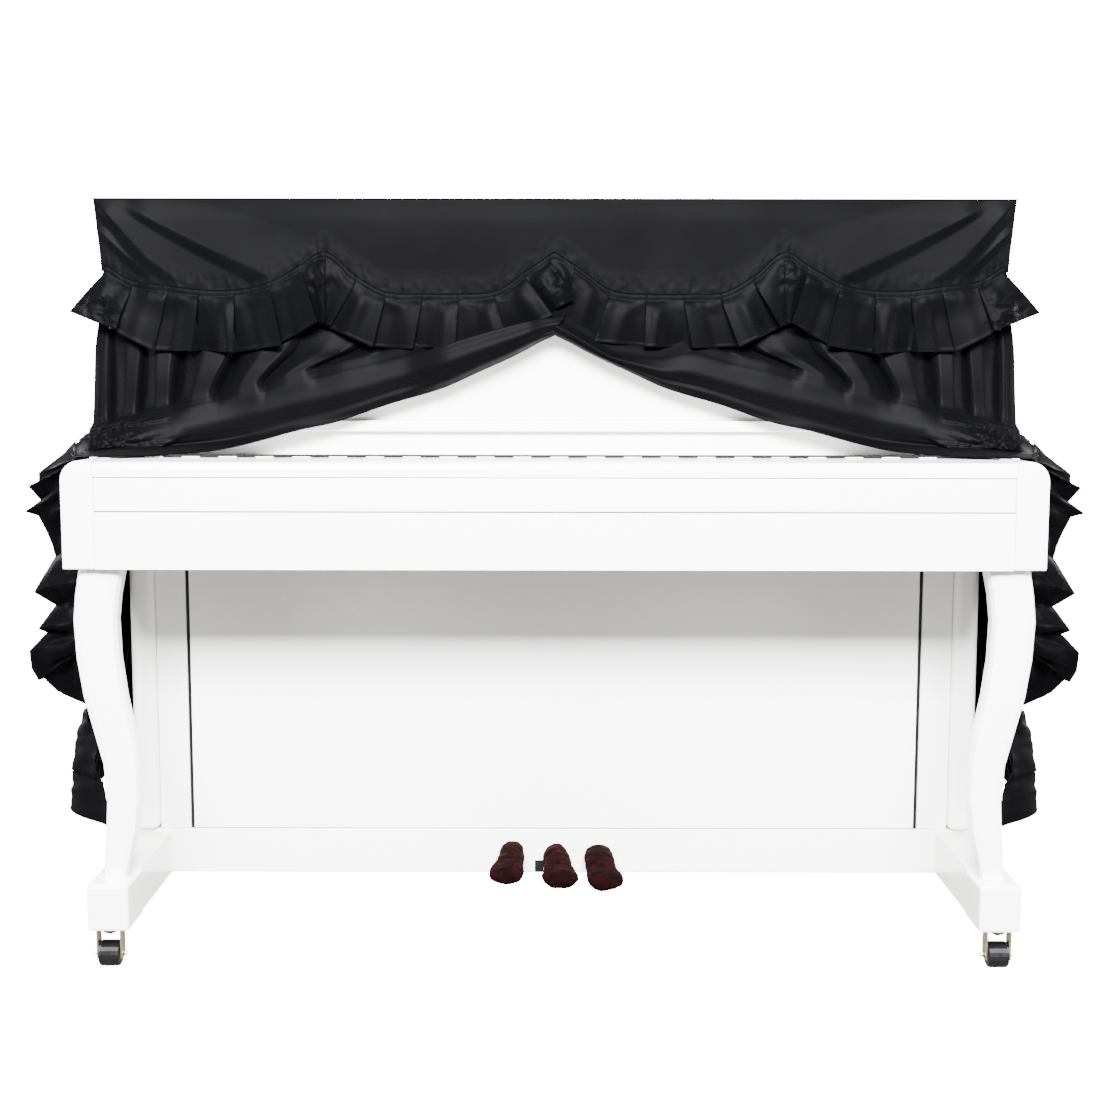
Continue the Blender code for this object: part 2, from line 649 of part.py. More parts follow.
def curtain_section(row, side):
    """Points down a curtain at one of its folds: (distance from the middle, depth, height)."""
    roll_x, hem_x, seam_x, forward = row
    seam_z = seam_height(seam_x)
    edge_x = min(roll_x, 0.735)
    edge_z = smooth(FREE_EDGE, edge_x)
    edge_depth = smooth(FREE_EDGE, edge_x, 2)
    roll_z = smooth(ROLL_TOP, roll_x)
    over = 1 - ease((roll_x - ROLL_OVER_FULL) / (ROLL_OVER_NONE - ROLL_OVER_FULL))
    under_z = smooth(UNDER_FRILL, min(roll_x, 0.26))
    if side > 0:
        roll_z = mix(roll_z, under_z, over)
        over = 0
    back = YOKE_DEPTH + LAYER
    drape_z = mix(roll_z + 0.010, under_z, over)
    hem_z = max(0.985, drape_z + 0.02)
    deep = roll_z - edge_z
    gather = ease((roll_x - 0.50) / 0.25)
    turn = mix(0.0, 0.030, gather)
    points = [
        (seam_x, back, seam_z + 0.010),
        (seam_x, back, seam_z - SEAM_BELOW),
        (mix(seam_x, hem_x, 0.6), 0.2470, mix(seam_z, hem_z, 0.6)),
        (hem_x, 0.2460 - 0.6 * forward, hem_z),
        (mix(hem_x, roll_x, 0.5), 0.2440 - forward, mix(hem_z, drape_z, 0.5)),
        (roll_x, mix(0.2400 - 0.5 * forward, 0.2430, over), drape_z),
        (roll_x, mix(0.2330 - turn * 0.3, 0.2230, over), mix(roll_z + 0.003, under_z - 0.004, over)),
        (roll_x, mix(0.2240 - turn * 0.6, 0.2040, over), roll_z - 0.003),
        (mix(roll_x, edge_x, 0.25), mix(0.2100 - turn, 0.1960, over), roll_z - 0.25 * deep),
        (mix(roll_x, edge_x, 0.55), mix(0.2200 - turn * 1.2, 0.2080, over), roll_z - 0.55 * deep),
        (mix(roll_x, edge_x, 0.80), mix(0.2120 - turn * 1.4, 0.2080, over), roll_z - 0.80 * deep),
        (edge_x, edge_depth, edge_z),
    ]
    return points


def make_curtains():
    for word, side in SIDES:
        sections = [curtain_section(row, side) for row in CURTAIN_FOLDS]

        def place(i, j):
            x, depth, z = sections[i][j]
            return side * x, y(depth), z

        sheet(f"curtain_{word}", range(len(sections)), range(len(sections[0])), place)


def tail_rows(side):
    """Sections of a curtain's tail, each from its rear edge to its front edge."""
    gathered = curtain_section(CURTAIN_FOLDS[0], side)[TAIL_FIRST:]
    rows = [[(x + 0.0008, depth, z) for x, depth, z in gathered]]
    last = len(gathered) - 1
    for front_z, front_x, front_depth, rear_x, rear_depth, rear_z, ripple, bulge in TAIL:
        row = []
        for k in range(last + 1):
            t = k / last
            wave = ripple * math.sin(2 * math.pi * TAIL_RIPPLES * (1 - t)) * (1 - t ** 6)
            out = bulge * math.sin(math.pi * t)
            row.append((mix(rear_x, front_x, t ** 1.3) + wave + out,
                        mix(rear_depth, front_depth, t), mix(rear_z, front_z, t)))
        rows.append(row)
    return rows


def make_tails():
    for word, side in SIDES:
        rows = tail_rows(side)

        def place(i, k):
            x, depth, z = rows[i][k]
            return side * x, y(depth), z

        sheet(f"curtain_tail_{word}", range(len(rows)), range(len(rows[0])), place)


def tail_edge(rows, share):
    """A point of the tail's front edge (share 0 to 1), then of its hem (1 to 2)."""
    front = [Vector(row[-1]) for row in rows[1:]]
    hem = [Vector(point) for point in reversed(rows[-1])]
    line = front if share <= 1 else hem
    at = (share if share <= 1 else share - 1) * (len(line) - 1)
    i = min(int(at), len(line) - 2)
    return line[i].lerp(line[i + 1], at - i)


def make_tail_frills():
    for word, side in SIDES:
        rows = tail_rows(side)

        def place(i, v):
            share, outer_x, outer_z, outer_depth = TAIL_FRILL[i]
            root = tail_edge(rows, share)
            on_hem = ease((share - 0.92) / 0.16)
            root.y -= 0.0024 * (1 - on_hem)
            root.z -= 0.0024 * on_hem
            root.x += 0.0008
            point = root.lerp(Vector((outer_x, outer_depth, outer_z)), v)
            return side * point.x, y(point.y), point.z

        sheet(f"tail_frill_{word}", range(len(TAIL_FRILL)), (0, 0.5, 1), place)


def panel_turn(back, z):
    """How far a side panel has turned in behind, from 0 to 1."""
    return 0.85 * ease((back - 0.68) / 0.32) * ease((1.0 - z) / 0.4)


def panel_distance(depth, z):
    """Distance of a side panel's middle from the piano's middle."""
    back = (depth - 0.252) / (PANEL_BACK_DEPTH - 0.252)
    ripple = 0.013 * ease((1.085 - z) / 0.75)
    wave = math.sin(2 * math.pi * PANEL_RIPPLES * back) * ease(back / 0.1)
    return mix(smooth(PANEL_FLARE, z) + ripple * wave, PANEL_REAR, panel_turn(back, z))


def panel_depth(back, z):
    """Depth at a share of the way from a side panel's front edge to its back."""
    front = mix(0.2520, 0.2418, ease((z - 1.127) / 0.013))
    return mix(front, PANEL_BACK_DEPTH, back)


def make_side_panels():
    for word, side in SIDES:

        def place(back, z):
            depth = panel_depth(back, z)
            return side * panel_distance(depth, z), y(depth), z

        sheet(f"side_panel_{word}", steps(0, 1, 18), PANEL_ROWS, place)


def make_side_frills():
    for word, side in SIDES:
        columns = []
        for i in range(SIDE_FRILL_PLEATS):
            columns += [(i / SIDE_FRILL_PLEATS, 0.0), ((i + 0.93) / SIDE_FRILL_PLEATS, 0.012)]
        columns.append((1, 0.0))

        def place(i, v):
            share, forward = columns[i]
            depth = mix(0.2530, PANEL_BACK_DEPTH - 0.002, share)
            at = SIDE_SEAM + SEAM_ABOVE if v < 0 else SIDE_SEAM - SEAM_BELOW
            flat = smooth(((1.085, 0.7465), (1.130, 0.7475)), at) + LAYER + 0.0002
            if v <= 0:
                return side * flat, y(depth), at
            out = mix(flat, SIDE_FRILL_OUT + forward, v)
            return side * out, y(depth), mix(at, SIDE_FRILL_HEM, v)

        sheet(f"frill_side_{word}", range(len(columns)), (-1, 0, 1), place)


def make_hem_frills():
    for word, side in SIDES:
        columns = []
        for i in range(HEM_FRILL_PLEATS):
            columns += [(i / HEM_FRILL_PLEATS, -1), ((i + 0.5) / HEM_FRILL_PLEATS, 1)]
        columns.append((1, -1))

        def place(i, down):
            share, zigzag = columns[i]
            depth = panel_depth(share, PANEL_BOTTOM)
            out = panel_distance(depth, PANEL_BOTTOM) + 0.0008
            top = PANEL_BOTTOM - 0.0008
            # The front corner hangs lower and nearer the leg than the rest
            away = ease(share / 0.14)
            flare = mix(0.041, 0.010, panel_turn(share, PANEL_BOTTOM))
            hem_x = mix(HEM_FRONT_OUT, out + flare + 0.010 * zigzag, away)
            hem_z = mix(HEM_FRILL_BOTTOM, HEM_FRILL_BOTTOM + 0.028, away) - 0.004 * zigzag
            x = mix(out, hem_x, down ** 0.85)
            return side * x, y(depth), mix(top, hem_z, down)

        sheet(f"hem_frill_{word}", range(len(columns)), (0, 0.5, 1), place)


def make_back():
    def place(x, z):
        ripple = 0.0012 * ease((1.20 - z) / 0.2) * math.sin(x * 14)
        return x, y(BACK_DROP_DEPTH + ripple), z

    sheet("cover_back", steps(-0.7570, 0.7570, 24), (HANG_TOP, 1.19, 1.10, 1.00, 0.90), place)


clear_scene()
COLLECTION = bpy.data.collections.new("piano_cover")
bpy.context.scene.collection.children.link(COLLECTION)
SATIN = make_material("satin", (0.012, 0.012, 0.014), 0.32, sheen=0.2)
VELVET = make_material("velvet", (0.10, 0.008, 0.014), 0.9, sheen=0.6)
WHITE = make_material("white_gloss", (0.90, 0.90, 0.89), 0.18)
BRASS = make_material("brass", (0.72, 0.62, 0.42), 0.3, metallic=1.0)
BLACK_RUBBER = make_material("black_rubber", (0.02, 0.02, 0.022), 0.35)

make_case()
make_keyboard()
make_stand()
for sleeve in SLEEVES:
    make_sleeve(*sleeve)
board("pedal_slot_plate", BLACK_RUBBER, SLOT_PLATE[0],
      (LOWER_CASE_DEPTH - GAP - SLOT_PLATE_THICK, LOWER_CASE_DEPTH - GAP), SLOT_PLATE[1])
make_top()
make_yoke()
make_front_frill()
make_curtains()
make_tails()
make_tail_frills()
make_side_panels()
make_side_frills()
make_hem_frills()
make_back()
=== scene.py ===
"""Looks of the piano cover: fine satin, velvet sleeves, lacquer, metal, floor and light.

Metres, +Z up, in the row's frame: the keyboard side faces -Y. A depth is a distance
back from the plane of the cheeks' fronts.
"""

import json
import math

import bmesh
import bpy
from mathutils import Matrix, Vector, noise


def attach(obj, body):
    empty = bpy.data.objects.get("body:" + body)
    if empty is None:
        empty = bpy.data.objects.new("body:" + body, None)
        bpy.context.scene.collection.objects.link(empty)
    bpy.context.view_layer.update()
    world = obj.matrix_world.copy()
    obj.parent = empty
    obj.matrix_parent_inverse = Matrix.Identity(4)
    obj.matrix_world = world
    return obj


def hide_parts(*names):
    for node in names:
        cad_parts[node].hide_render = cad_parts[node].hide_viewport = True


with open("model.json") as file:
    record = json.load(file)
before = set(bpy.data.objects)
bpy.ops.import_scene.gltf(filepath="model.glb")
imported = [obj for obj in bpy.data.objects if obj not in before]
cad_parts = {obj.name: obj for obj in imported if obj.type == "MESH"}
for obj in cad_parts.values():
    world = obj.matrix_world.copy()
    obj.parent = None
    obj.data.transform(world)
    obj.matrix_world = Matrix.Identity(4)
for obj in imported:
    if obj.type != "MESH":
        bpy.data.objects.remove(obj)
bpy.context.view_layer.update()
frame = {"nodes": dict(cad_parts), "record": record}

SIDES = (("left", -1), ("right", 1))

# Camera
CAMERA_AT = (-0.0046, -2.5836, 0.9271)
CAMERA_DOWN = 6.305  # degrees
CAMERA_TURN = 0.058
CAMERA_ROLL = 0.085
CAMERA_LENS = 49.657

# Light: lamps as name, place, target, width, height and power
LIGHTS = (
    ("key", (0.0, -4.0, 3.25), (0, 0, 0.75), 3.2, 1.25, 3350),
    ("top", (0.0, -1.6, 3.6), (0, 0, 0.9), 3.5, 1.4, 130),
    ("left", (-3.2, -0.9, 1.1), (-0.5, 0, 0.5), 0.9, 1.4, 190),
    ("right", (3.2, -0.9, 1.1), (0.5, 0, 0.5), 0.9, 1.4, 190),
    ("left rear", (-3.4, 0.9, 1.5), (-0.6, 0.1, 0.7), 0.7, 1.2, 350),
    ("right rear", (3.4, 0.9, 1.5), (0.6, 0.1, 0.7), 0.7, 1.2, 350),
    ("back", (0.0, 2.1, 2.75), (0, 0.3, 0.8), 2.8, 0.7, 420),
)
WORLD = 0.035  # strength of the light from all round
BACKDROP_GLOW = 17.0  # how bright the floor and the backdrop look to the camera
FLOOR = (0.06, 0.06, 0.06)
FLOOR_HALF = 9.0
FLOOR_FRONT = -8.0  # y
BACKDROP_FOOT = 2.2  # y where the floor starts to curve up
BACKDROP_RADIUS = 1.5
BACKDROP_TOP = 7.0

# Materials
SATIN_DARK = (0.0005, 0.0005, 0.0007)
SATIN_LIGHT = (0.0009, 0.0009, 0.0012)
SATIN_ROUGH = 0.46
SATIN_SPECULAR = 0.0119
SATIN_SHADED_SPECULAR = 0.01  # the front frill's satin reflects less: painted shade that darkens the frill
SATIN_SHEEN = 0.004
SATIN_THREADS = (260, 2400, 1)  # threads' scale across and along the cloth
VELVET_DARK = (0.0011, 0.00014, 0.0002)
VELVET_LIGHT = (0.005, 0.00045, 0.0007)
VELVET_SPECULAR = 0.02
VELVET_SHEEN = 0.022
VELVET_SHEEN_TINT = (0.5, 0.08, 0.1, 1)
LACQUER = (0.775, 0.77, 0.755)
LACQUER_COAT = 0.3
# Painted shade: the colour of faces that point down
UNDERSIDE_SHADE = (0.08, 0.055, 0.035)
BRASS = (0.4, 0.33, 0.21)
RUBBER = (0.0025, 0.0025, 0.003)
RUBBER_SPECULAR = 0.16
CLOTH_SHARP = math.radians(50)  # a sheet is shaded flat across a sharper fold
METAL_SHARP = math.radians(35)

# Placing, as in the part
FRONT = -0.2908  # y of the cheeks' fronts
CLOTH = 0.0012
GAP = 0.0003
LAYER = CLOTH + GAP
LID_TOP = 1.2245
HALF_TOP = 0.7585
TOP_FRONT_DEPTH = 0.2385
TOP_BACK_DEPTH = 0.5856
TOP_MIDDLE = LID_TOP + 0.0005 + CLOTH / 2
HANG_TOP = LID_TOP + 0.0001
BACK_DROP_DEPTH = 0.5834
BACK_DROP_HALF = 0.757
BACK_DROP_BOTTOM = 0.9
YOKE_DEPTH = 0.2405
SEAM_ABOVE = 0.005  # the frill's head reaches this far above the seam
SEAM_BELOW = 0.006
PUCKER_SIZE = 0.008
PUCKER_SEED = 9.0
HALF_SEAM = 0.746
FALLBOARD_TOP = 0.8065
RAIL_DEPTH = 0.2887
RAIL_BOTTOM = 0.0731
RAIL_TOP = 0.1515
KEYBED_BOTTOM = 0.6425
HALF_LOWER_PANEL = 0.6272
HALF_FALLBOARD = 0.699
KEY_SLIP_TOP = 0.73
FALL_RAIL_TOP = 0.7826

# The fallboard's hinge
HINGE_DEPTH = 0.139
HINGE_HALF = 0.672
# A black strip behind the knuckles: painted shade of the gaps between them
HINGE_SHADE_DEPTH = (HINGE_DEPTH + 0.0004, HINGE_DEPTH + 0.0022)
HINGE_SHADE_Z = (FALLBOARD_TOP + GAP, FALLBOARD_TOP + 0.005)
KNUCKLE = 0.0295  # pitch of the knuckles
KNUCKLE_DEPTH = HINGE_DEPTH - 0.001
KNUCKLE_Z = FALLBOARD_TOP + 0.0012
KNUCKLE_RADIUS = 0.0009

# Black strips in the gaps: painted shade, standing in for the gaps' shadow
PANEL_SHADE_X = (0.628, 0.6332)
PANEL_SHADE_DEPTH = (0.293, 0.298)
PANEL_SHADE_SHORT = 0.0008  # of the gap's ends
# Painted shade lines on the rails: half its length, depth, the rail's top, and its own above that
RAIL_SHADE_STRIPS = (
    (HALF_FALLBOARD, (0.0026, 0.0052), KEY_SLIP_TOP, 0.0012),
    (HALF_FALLBOARD, (0.0026, 0.0052), FALL_RAIL_TOP, 0.0012),
    (HALF_LOWER_PANEL, (0.2902, 0.2924), RAIL_TOP, 0.001),
)
THIN_CHAMFER = 0.0001

# Front castors
CASTOR_X = 0.707
CASTOR_DEPTH = 0.046
WHEEL_RADIUS = 0.0205
CUP_Z = (RAIL_BOTTOM - 0.0175, RAIL_BOTTOM - 0.0056)
CUP_RADIUS = 0.0135
NUT_BOTTOM = RAIL_BOTTOM - 0.0205
NUT_RADIUS = 0.006
WASHER_FROM_MIDDLE = 0.0205
WASHER_THICK = 0.0012
WASHER_RADIUS = 0.0048
BOLT_HEAD = (0.004, 0.0036)  # length and radius

# The scalloped seam: distance from the middle, height
SEAM = (
    (0.0, 1.136), (0.045, 1.106), (0.094, 1.073), (0.156, 1.067), (0.22, 1.067),
    (0.278, 1.07), (0.329, 1.097), (0.377, 1.135), (0.419, 1.113), (0.47, 1.085),
    (0.528, 1.073), (0.586, 1.073), (0.64, 1.08), (0.699, 1.089), (0.739, 1.112),
    (0.76, 1.118),
)

# Half width of the yoke at a height
WAIST = (
    (0.3, 0.78), (0.64, 0.758), (0.81, 0.7545), (0.95, 0.75), (1.085, 0.7465),
    (1.13, 0.7475), (1.167, 0.751), (1.2, 0.754), (1.2246, 0.7567),
)

# Folds of the yoke, fanning from its top corners: crest line (distance from the middle,
# height), reach above the crest and below it, how far it stands forward
YOKE_FOLDS = (
    (((0.754, 1.223), (0.723, 1.187), (0.698, 1.158), (0.671, 1.131), (0.637, 1.105),
      (0.59, 1.072), (0.54, 1.04)), 0.085, 0.028, 0.006),
    (((0.705, 1.214), (0.643, 1.181), (0.585, 1.152), (0.515, 1.12), (0.44, 1.085),
      (0.38, 1.06)), 0.1, 0.027, 0.0044),
    (((0.752, 1.178), (0.716, 1.143), (0.686, 1.117), (0.64, 1.072), (0.61, 1.04)),
     0.032, 0.018, 0.0036),
)

# Front edges of the frill's pleats: x at the seam, x at the hem, height of the hem, how
# far the edge stands forward there; then the bulge of the face behind it and the bulge's
# place across the face; then how far the tucked cloth opens out at the hem
FRONT_PLEATS = (
    (-0.7395, -0.8, 1.042, 0.0, 0.0, 0.5, 0.0),
    (-0.697, -0.718, 1.012, 0.01, 0.004, 0.3, 0.0),
    (-0.638, -0.66, 0.977, 0.004, 0.001, 0.6, 0.2),
    (-0.586, -0.596, 0.977, 0.024, -0.003, 0.5, 1.9),
    (-0.528, -0.527, 0.9745, 0.024, 0.004, 0.8, 1.3),
    (-0.469, -0.448, 0.987, 0.025, -0.002, 0.5, 0.3),
    (-0.416, -0.39, 1.024, 0.022, -0.002, 0.5, 0.8),
    (-0.377, -0.379, 1.023, 0.02, -0.003, 0.5, 0.0),
    (-0.328, -0.37, 1.019, 0.003, 0.002, 0.3, 0.0),
    (-0.28, -0.3, 0.984, 0.014, 0.006, 0.5, 0.3),
    (-0.219, -0.234, 0.981, 0.014, -0.002, 0.4, 0.2),
    (-0.159, -0.164, 0.984, 0.015, 0.004, 0.75, 0.6),
    (-0.099, -0.078, 0.993, 0.016, 0.004, 0.8, 0.3),
    (-0.049, -0.004, 1.036, 0.016, 0.004, 0.75, 0.0),
    (-0.008, 0.033, 1.062, 0.022, 0.005, 0.5, 0.0),
    (0.033, 0.015, 1.024, 0.002, 0.003, 0.4, 0.0),
    (0.09, 0.065, 0.993, 0.013, 0.004, 0.4, 0.2),
    (0.151, 0.148, 0.985, 0.018, 0.005, 0.25, 0.9),
    (0.213, 0.228, 0.983, 0.019, -0.003, 0.5, 1.7),
    (0.274, 0.304, 0.985, 0.02, 0.006, 0.4, 0.6),
    (0.328, 0.37, 1.019, 0.024, -0.001, 0.5, 0.2),
    (0.377, 0.379, 1.023, 0.003, 0.002, 0.4, 0.0),
    (0.416, 0.39, 1.024, 0.018, -0.003, 0.5, 0.4),
    (0.469, 0.448, 0.987, 0.024, -0.002, 0.5, 0.6),
    (0.528, 0.527, 0.9745, 0.024, 0.004, 0.3, 1.3),
    (0.586, 0.596, 0.977, 0.024, -0.003, 0.5, 1.6),
    (0.638, 0.66, 0.977, 0.004, 0.001, 0.45, 0.3),
    (0.697, 0.718, 1.012, 0.012, 0.004, 0.4, 0.0),
    (0.7395, 0.8, 1.042, 0.0, 0.0, 0.5, 0.0),
)
FRILL_BACK = 0.234  # depth of the frill's hem between its pleats' front edges
FRILL_FORWARD = 0.75  # scale of how far those stand forward
FRILL_BULGE = 0.0028
TUCK = 0.013  # how far each pleat's cloth goes back under its front edge
TUCK_BACK = 0.0032  # how far behind the hem the tuck's end lies

# Places where the frill's cloth is creased: x, height, reach, depth of the creases
FRILL_CREASES = (
    (-0.745, 1.04, 0.05, 0.01), (0.745, 1.04, 0.05, 0.01),
    (0.005, 1.085, 0.05, 0.0045), (-0.395, 1.1, 0.05, 0.005),
    (0.395, 1.1, 0.05, 0.005),
)

# How much further forward the frill's hem hangs, along it: distance from the middle
HEM_LEAN = (
    (0.0, 0.001), (0.58, 0.0), (0.645, 0.003), (0.69, 0.014), (0.73, 0.014),
    (0.8, 0.0),
)

# Folds of a curtain from its outer edge to the middle: distance from the middle at the
# rolled fold, at the frill's hem and at the seam, and how far the fold stands forward
CURTAIN_FOLDS = (
    (0.766, 0.762, 0.744, 0.0),
    (0.748, 0.747, 0.735, 0.0045),
    (0.722, 0.721, 0.716, -0.005),
    (0.701, 0.692, 0.685, 0.0055),
    (0.672, 0.67, 0.664, -0.006),
    (0.644, 0.641, 0.635, 0.0085),
    (0.614, 0.601, 0.585, -0.008),
    (0.578, 0.547, 0.515, 0.0095),
    (0.536, 0.503, 0.462, -0.008),
    (0.498, 0.454, 0.4, 0.0085),
    (0.461, 0.404, 0.345, -0.007),
    (0.42, 0.35, 0.285, 0.0075),
    (0.37, 0.3, 0.235, -0.005),
    (0.32, 0.245, 0.185, 0.004),
    (0.26, 0.19, 0.135, 0.0),
    (0.2, 0.135, 0.09, 0.0),
    (0.14, 0.09, 0.055, 0.0),
    (0.08, 0.05, 0.028, 0.0),
    (0.03, 0.018, 0.01, 0.0),
    (0.003, 0.0035, 0.003, 0.0),
)

# A curtain's free edge: distance from the middle, height, depth
FREE_EDGE = (
    (0.0, 1.0063, 0.226), (0.067, 0.9702, 0.226), (0.125, 0.9439, 0.226),
    (0.184, 0.9176, 0.226), (0.273, 0.8912, 0.222), (0.36, 0.8616, 0.216),
    (0.419, 0.8485, 0.212), (0.491, 0.8289, 0.204), (0.547, 0.817, 0.186),
    (0.603, 0.8118, 0.15), (0.66, 0.8102, 0.114), (0.735, 0.81, 0.086),
)

# The top of the rolled fold along it: distance from the middle, height
ROLL_TOP = (
    (0.0, 1.037), (0.078, 1.019), (0.163, 0.996), (0.212, 0.981), (0.288, 0.958),
    (0.368, 0.94), (0.431, 0.925), (0.49, 0.911), (0.596, 0.888), (0.656, 0.873),
    (0.712, 0.855), (0.765, 0.841),
)

# Across the rolled fold: share of the way from its top to the free edge, its depth there,
# the depth where it lies over the frill, and share of the turn at the gathered end
ROLL_PROFILE = (
    (0.05, 0.222, 0.206, 0.6), (0.22, 0.2182, 0.202, 0.9), (0.42, 0.2146, 0.1984, 1.1),
    (0.58, 0.2154, 0.1994, 1.25), (0.72, 0.2184, 0.2032, 1.35), (0.86, 0.217, 0.208, 1.5),
)
FOLD_CREST = 1.45  # scale of the crests and of the valleys
FOLD_VALLEY = 1.0
# Shares of the way between crests: where the drop starts, where the valley lies, and how
# long the rise from it takes
DROP_FROM = 1 / 11
VALLEY_AT = 3 / 11
RISE_OVER = 0.46
CURTAIN_END = 0.735  # distance of the free edge's end from the middle
GATHER_DEEP = 0.006
GATHER_FINE = 0.002

# Height of the curtain's turn under the frill where the left roll lies over the frill
UNDER_FRILL = ((0.0, 1.032), (0.05, 1.002), (0.1, 0.974), (0.26, 0.962))
ROLL_OVER_FULL = 0.17
ROLL_OVER_NONE = 0.25
# Where the curtain's end is gathered: distance from the middle, height, reach
GATHER = (CURTAIN_END, 0.836, 0.075)

# Small folds at the curtain's gathered end, given as the yoke's are
END_FOLDS = (
    (((0.732, 0.8095), (0.69, 0.8135), (0.657, 0.8187), (0.636, 0.8246), (0.62, 0.833)),
     0.02, 0.0035, 0.0085),
    (((0.772, 0.848), (0.735, 0.852), (0.69, 0.858), (0.64, 0.8665)), 0.012, 0.005, 0.005),
)

# Sections of a curtain's tail outside the cheek: height, then distance from the middle
# and depth of its front edge, then the same and the height of its rear edge, its ripple
# and how far its middle bulges outwards
TAIL = (
    (0.806, 0.756, 0.108, 0.77, 0.245, 0.839, 0.0, 0.015),
    (0.78, 0.76, 0.12, 0.786, 0.275, 0.802, 0.003, 0.01),
    (0.72, 0.758, 0.136, 0.79, 0.315, 0.73, 0.006, 0.0),
    (0.64, 0.759, 0.135, 0.795, 0.345, 0.64, 0.008, 0.0),
    (0.56, 0.763, 0.137, 0.808, 0.37, 0.55, 0.009, 0.0),
    (0.49, 0.77, 0.145, 0.82, 0.385, 0.47, 0.009, 0.0),
)
TAIL_RIPPLES = 2.5
TAIL_FIRST = 5  # the point of a curtain's section where its tail begins

# The tail's frill down its front edge and back along its hem: share of the front edge
# (0 to 1) or of the hem (1 to 2), then the outer edge: distance from the middle,
# height, and depth
TAIL_FRILL = (
    (0.0, 0.775, 0.832, 0.165),
    (0.02, 0.792, 0.812, 0.16),
    (0.05, 0.831, 0.781, 0.15),
    (0.075, 0.832, 0.766, 0.152),
    (0.11, 0.845, 0.76, 0.14),
    (0.2, 0.834, 0.735, 0.165),
    (0.27, 0.852, 0.719, 0.14),
    (0.32, 0.835, 0.712, 0.152),
    (0.38, 0.827, 0.691, 0.158),
    (0.45, 0.819, 0.664, 0.166),
    (0.52, 0.816, 0.643, 0.172),
    (0.66, 0.841, 0.589, 0.135),
    (0.75, 0.817, 0.563, 0.17),
    (0.84, 0.836, 0.529, 0.135),
    (0.89, 0.83, 0.519, 0.16),
    (0.93, 0.859, 0.489, 0.156),
    (1.0, 0.862, 0.457, 0.172),
    (1.04, 0.855, 0.435, 0.184),
    (1.08, 0.848, 0.437, 0.19),
    (1.14, 0.83, 0.413, 0.2),
    (1.21, 0.809, 0.402, 0.208),
    (1.28, 0.786, 0.387, 0.216),
    (1.38, 0.832, 0.402, 0.23),
    (1.5, 0.808, 0.392, 0.26),
    (1.62, 0.842, 0.402, 0.29),
    (1.76, 0.815, 0.394, 0.325),
    (1.88, 0.846, 0.402, 0.355),
    (2.0, 0.828, 0.404, 0.385),
)

# Side panels and their frills
PANEL_BOTTOM = 0.362
PANEL_FRONT_DEPTH = 0.252
PANEL_SHOULDER_DEPTH = 0.2418  # its front edge beside the yoke
PANEL_BACK_DEPTH = 0.57
PANEL_CORNER_DEPTH = 0.5795  # its rear edge beside the back drop
HEAD_LAP = 0.0035  # a hem frill's head laps the cloth's edge
HEAD_OUT = 0.0026  # and lies this far outside it
TAIL_HEAD_OUT = 0.0019
# A side panel's distance from the middle at a height; high up it meets the yoke
PANEL_FLARE = (
    (0.17, 0.806), (0.362, 0.796), (0.43, 0.784), (0.5, 0.773), (0.64, 0.76),
) + WAIST[2:]
PANEL_RIPPLES = 3.5
PANEL_REAR = 0.7345  # where the panel turns in behind, low on its rear edge
SIDE_SEAM = 1.101
SIDE_FRILL_HEM = 0.996
SIDE_FRILL_OUT = 0.76
SIDE_FRILL_PLEATS = 6
HEM_FRILL_BOTTOM = 0.176
HEM_FRILL_PLEATS = 9
HEM_FRONT_OUT = 0.758
HEM_FRILL_LEAN = 0.055

# A pedal sleeve's sections: distance forward from the rail, how far it has changed from
# its rail end to its toe, and its size there, as shares
SLEEVE_SECTIONS = (
    (0.0, 0.0, 0.84), (0.12, 0.03, 1.0), (0.38, 0.18, 0.98), (0.58, 0.52, 0.93),
    (0.76, 0.9, 0.99), (0.91, 1.0, 0.86), (1.0, 1.0, 0.46),
)
SLEEVE_LENGTH = 0.105
# Each sleeve: x at the rail and at the toe, half width at the rail and at the toe, top at
# the rail, bottom of the toe
SLEEVES = (
    ("left", -0.072, -0.0816, 0.02, 0.03, 0.1325, 0.0815),
    ("middle", 0.0044, 0.0114, 0.0215, 0.0305, 0.1275, 0.075),
    ("right", 0.0779, 0.0875, 0.0235, 0.0312, 0.1275, 0.0705),
)
SLEEVE_RAIL_HIGH = 0.021
SLEEVE_TOE_HIGH = 0.017


# Shapes: numbers


def y(depth):
    return FRONT + depth


def mix(a, b, t):
    return a + (b - a) * t


def ease(t):
    t = min(max(t, 0), 1)
    return t * t * (3 - 2 * t)


def steps(first, last, count):
    return [mix(first, last, i / count) for i in range(count + 1)]


def smooth(rows, x, column=1):
    """A column of rows at x, on a smooth curve through them. The first column rises."""
    i = 0
    while i < len(rows) - 2 and x > rows[i + 1][0]:
        i += 1
    slopes = []
    for k in (i, i + 1):
        before = rows[max(k - 1, 0)]
        after = rows[min(k + 1, len(rows) - 1)]
        slopes.append((after[column] - before[column]) / (after[0] - before[0]))
    width = rows[i + 1][0] - rows[i][0]
    t = min(max((x - rows[i][0]) / width, 0), 1)
    start = (1 + 2 * t) * (1 - t) ** 2 * rows[i][column] + t * (1 - t) ** 2 * width * slopes[0]
    end = t * t * (3 - 2 * t) * rows[i + 1][column] + t * t * (t - 1) * width * slopes[1]
    return start + end


def along(rows, t):
    """The row at t, counted in rows, on a smooth curve through them."""
    i = min(max(int(t), 0), len(rows) - 2)
    s = t - i
    before, a, b, after = (rows[min(max(i + k, 0), len(rows) - 1)] for k in (-1, 0, 1, 2))
    return tuple(
        0.5 * (2 * q + (r - p) * s + (2 * p - 5 * q + 4 * r - w) * s * s
               + (3 * q - p - 3 * r + w) * s ** 3)
        for p, q, r, w in zip(before, a, b, after)
    )


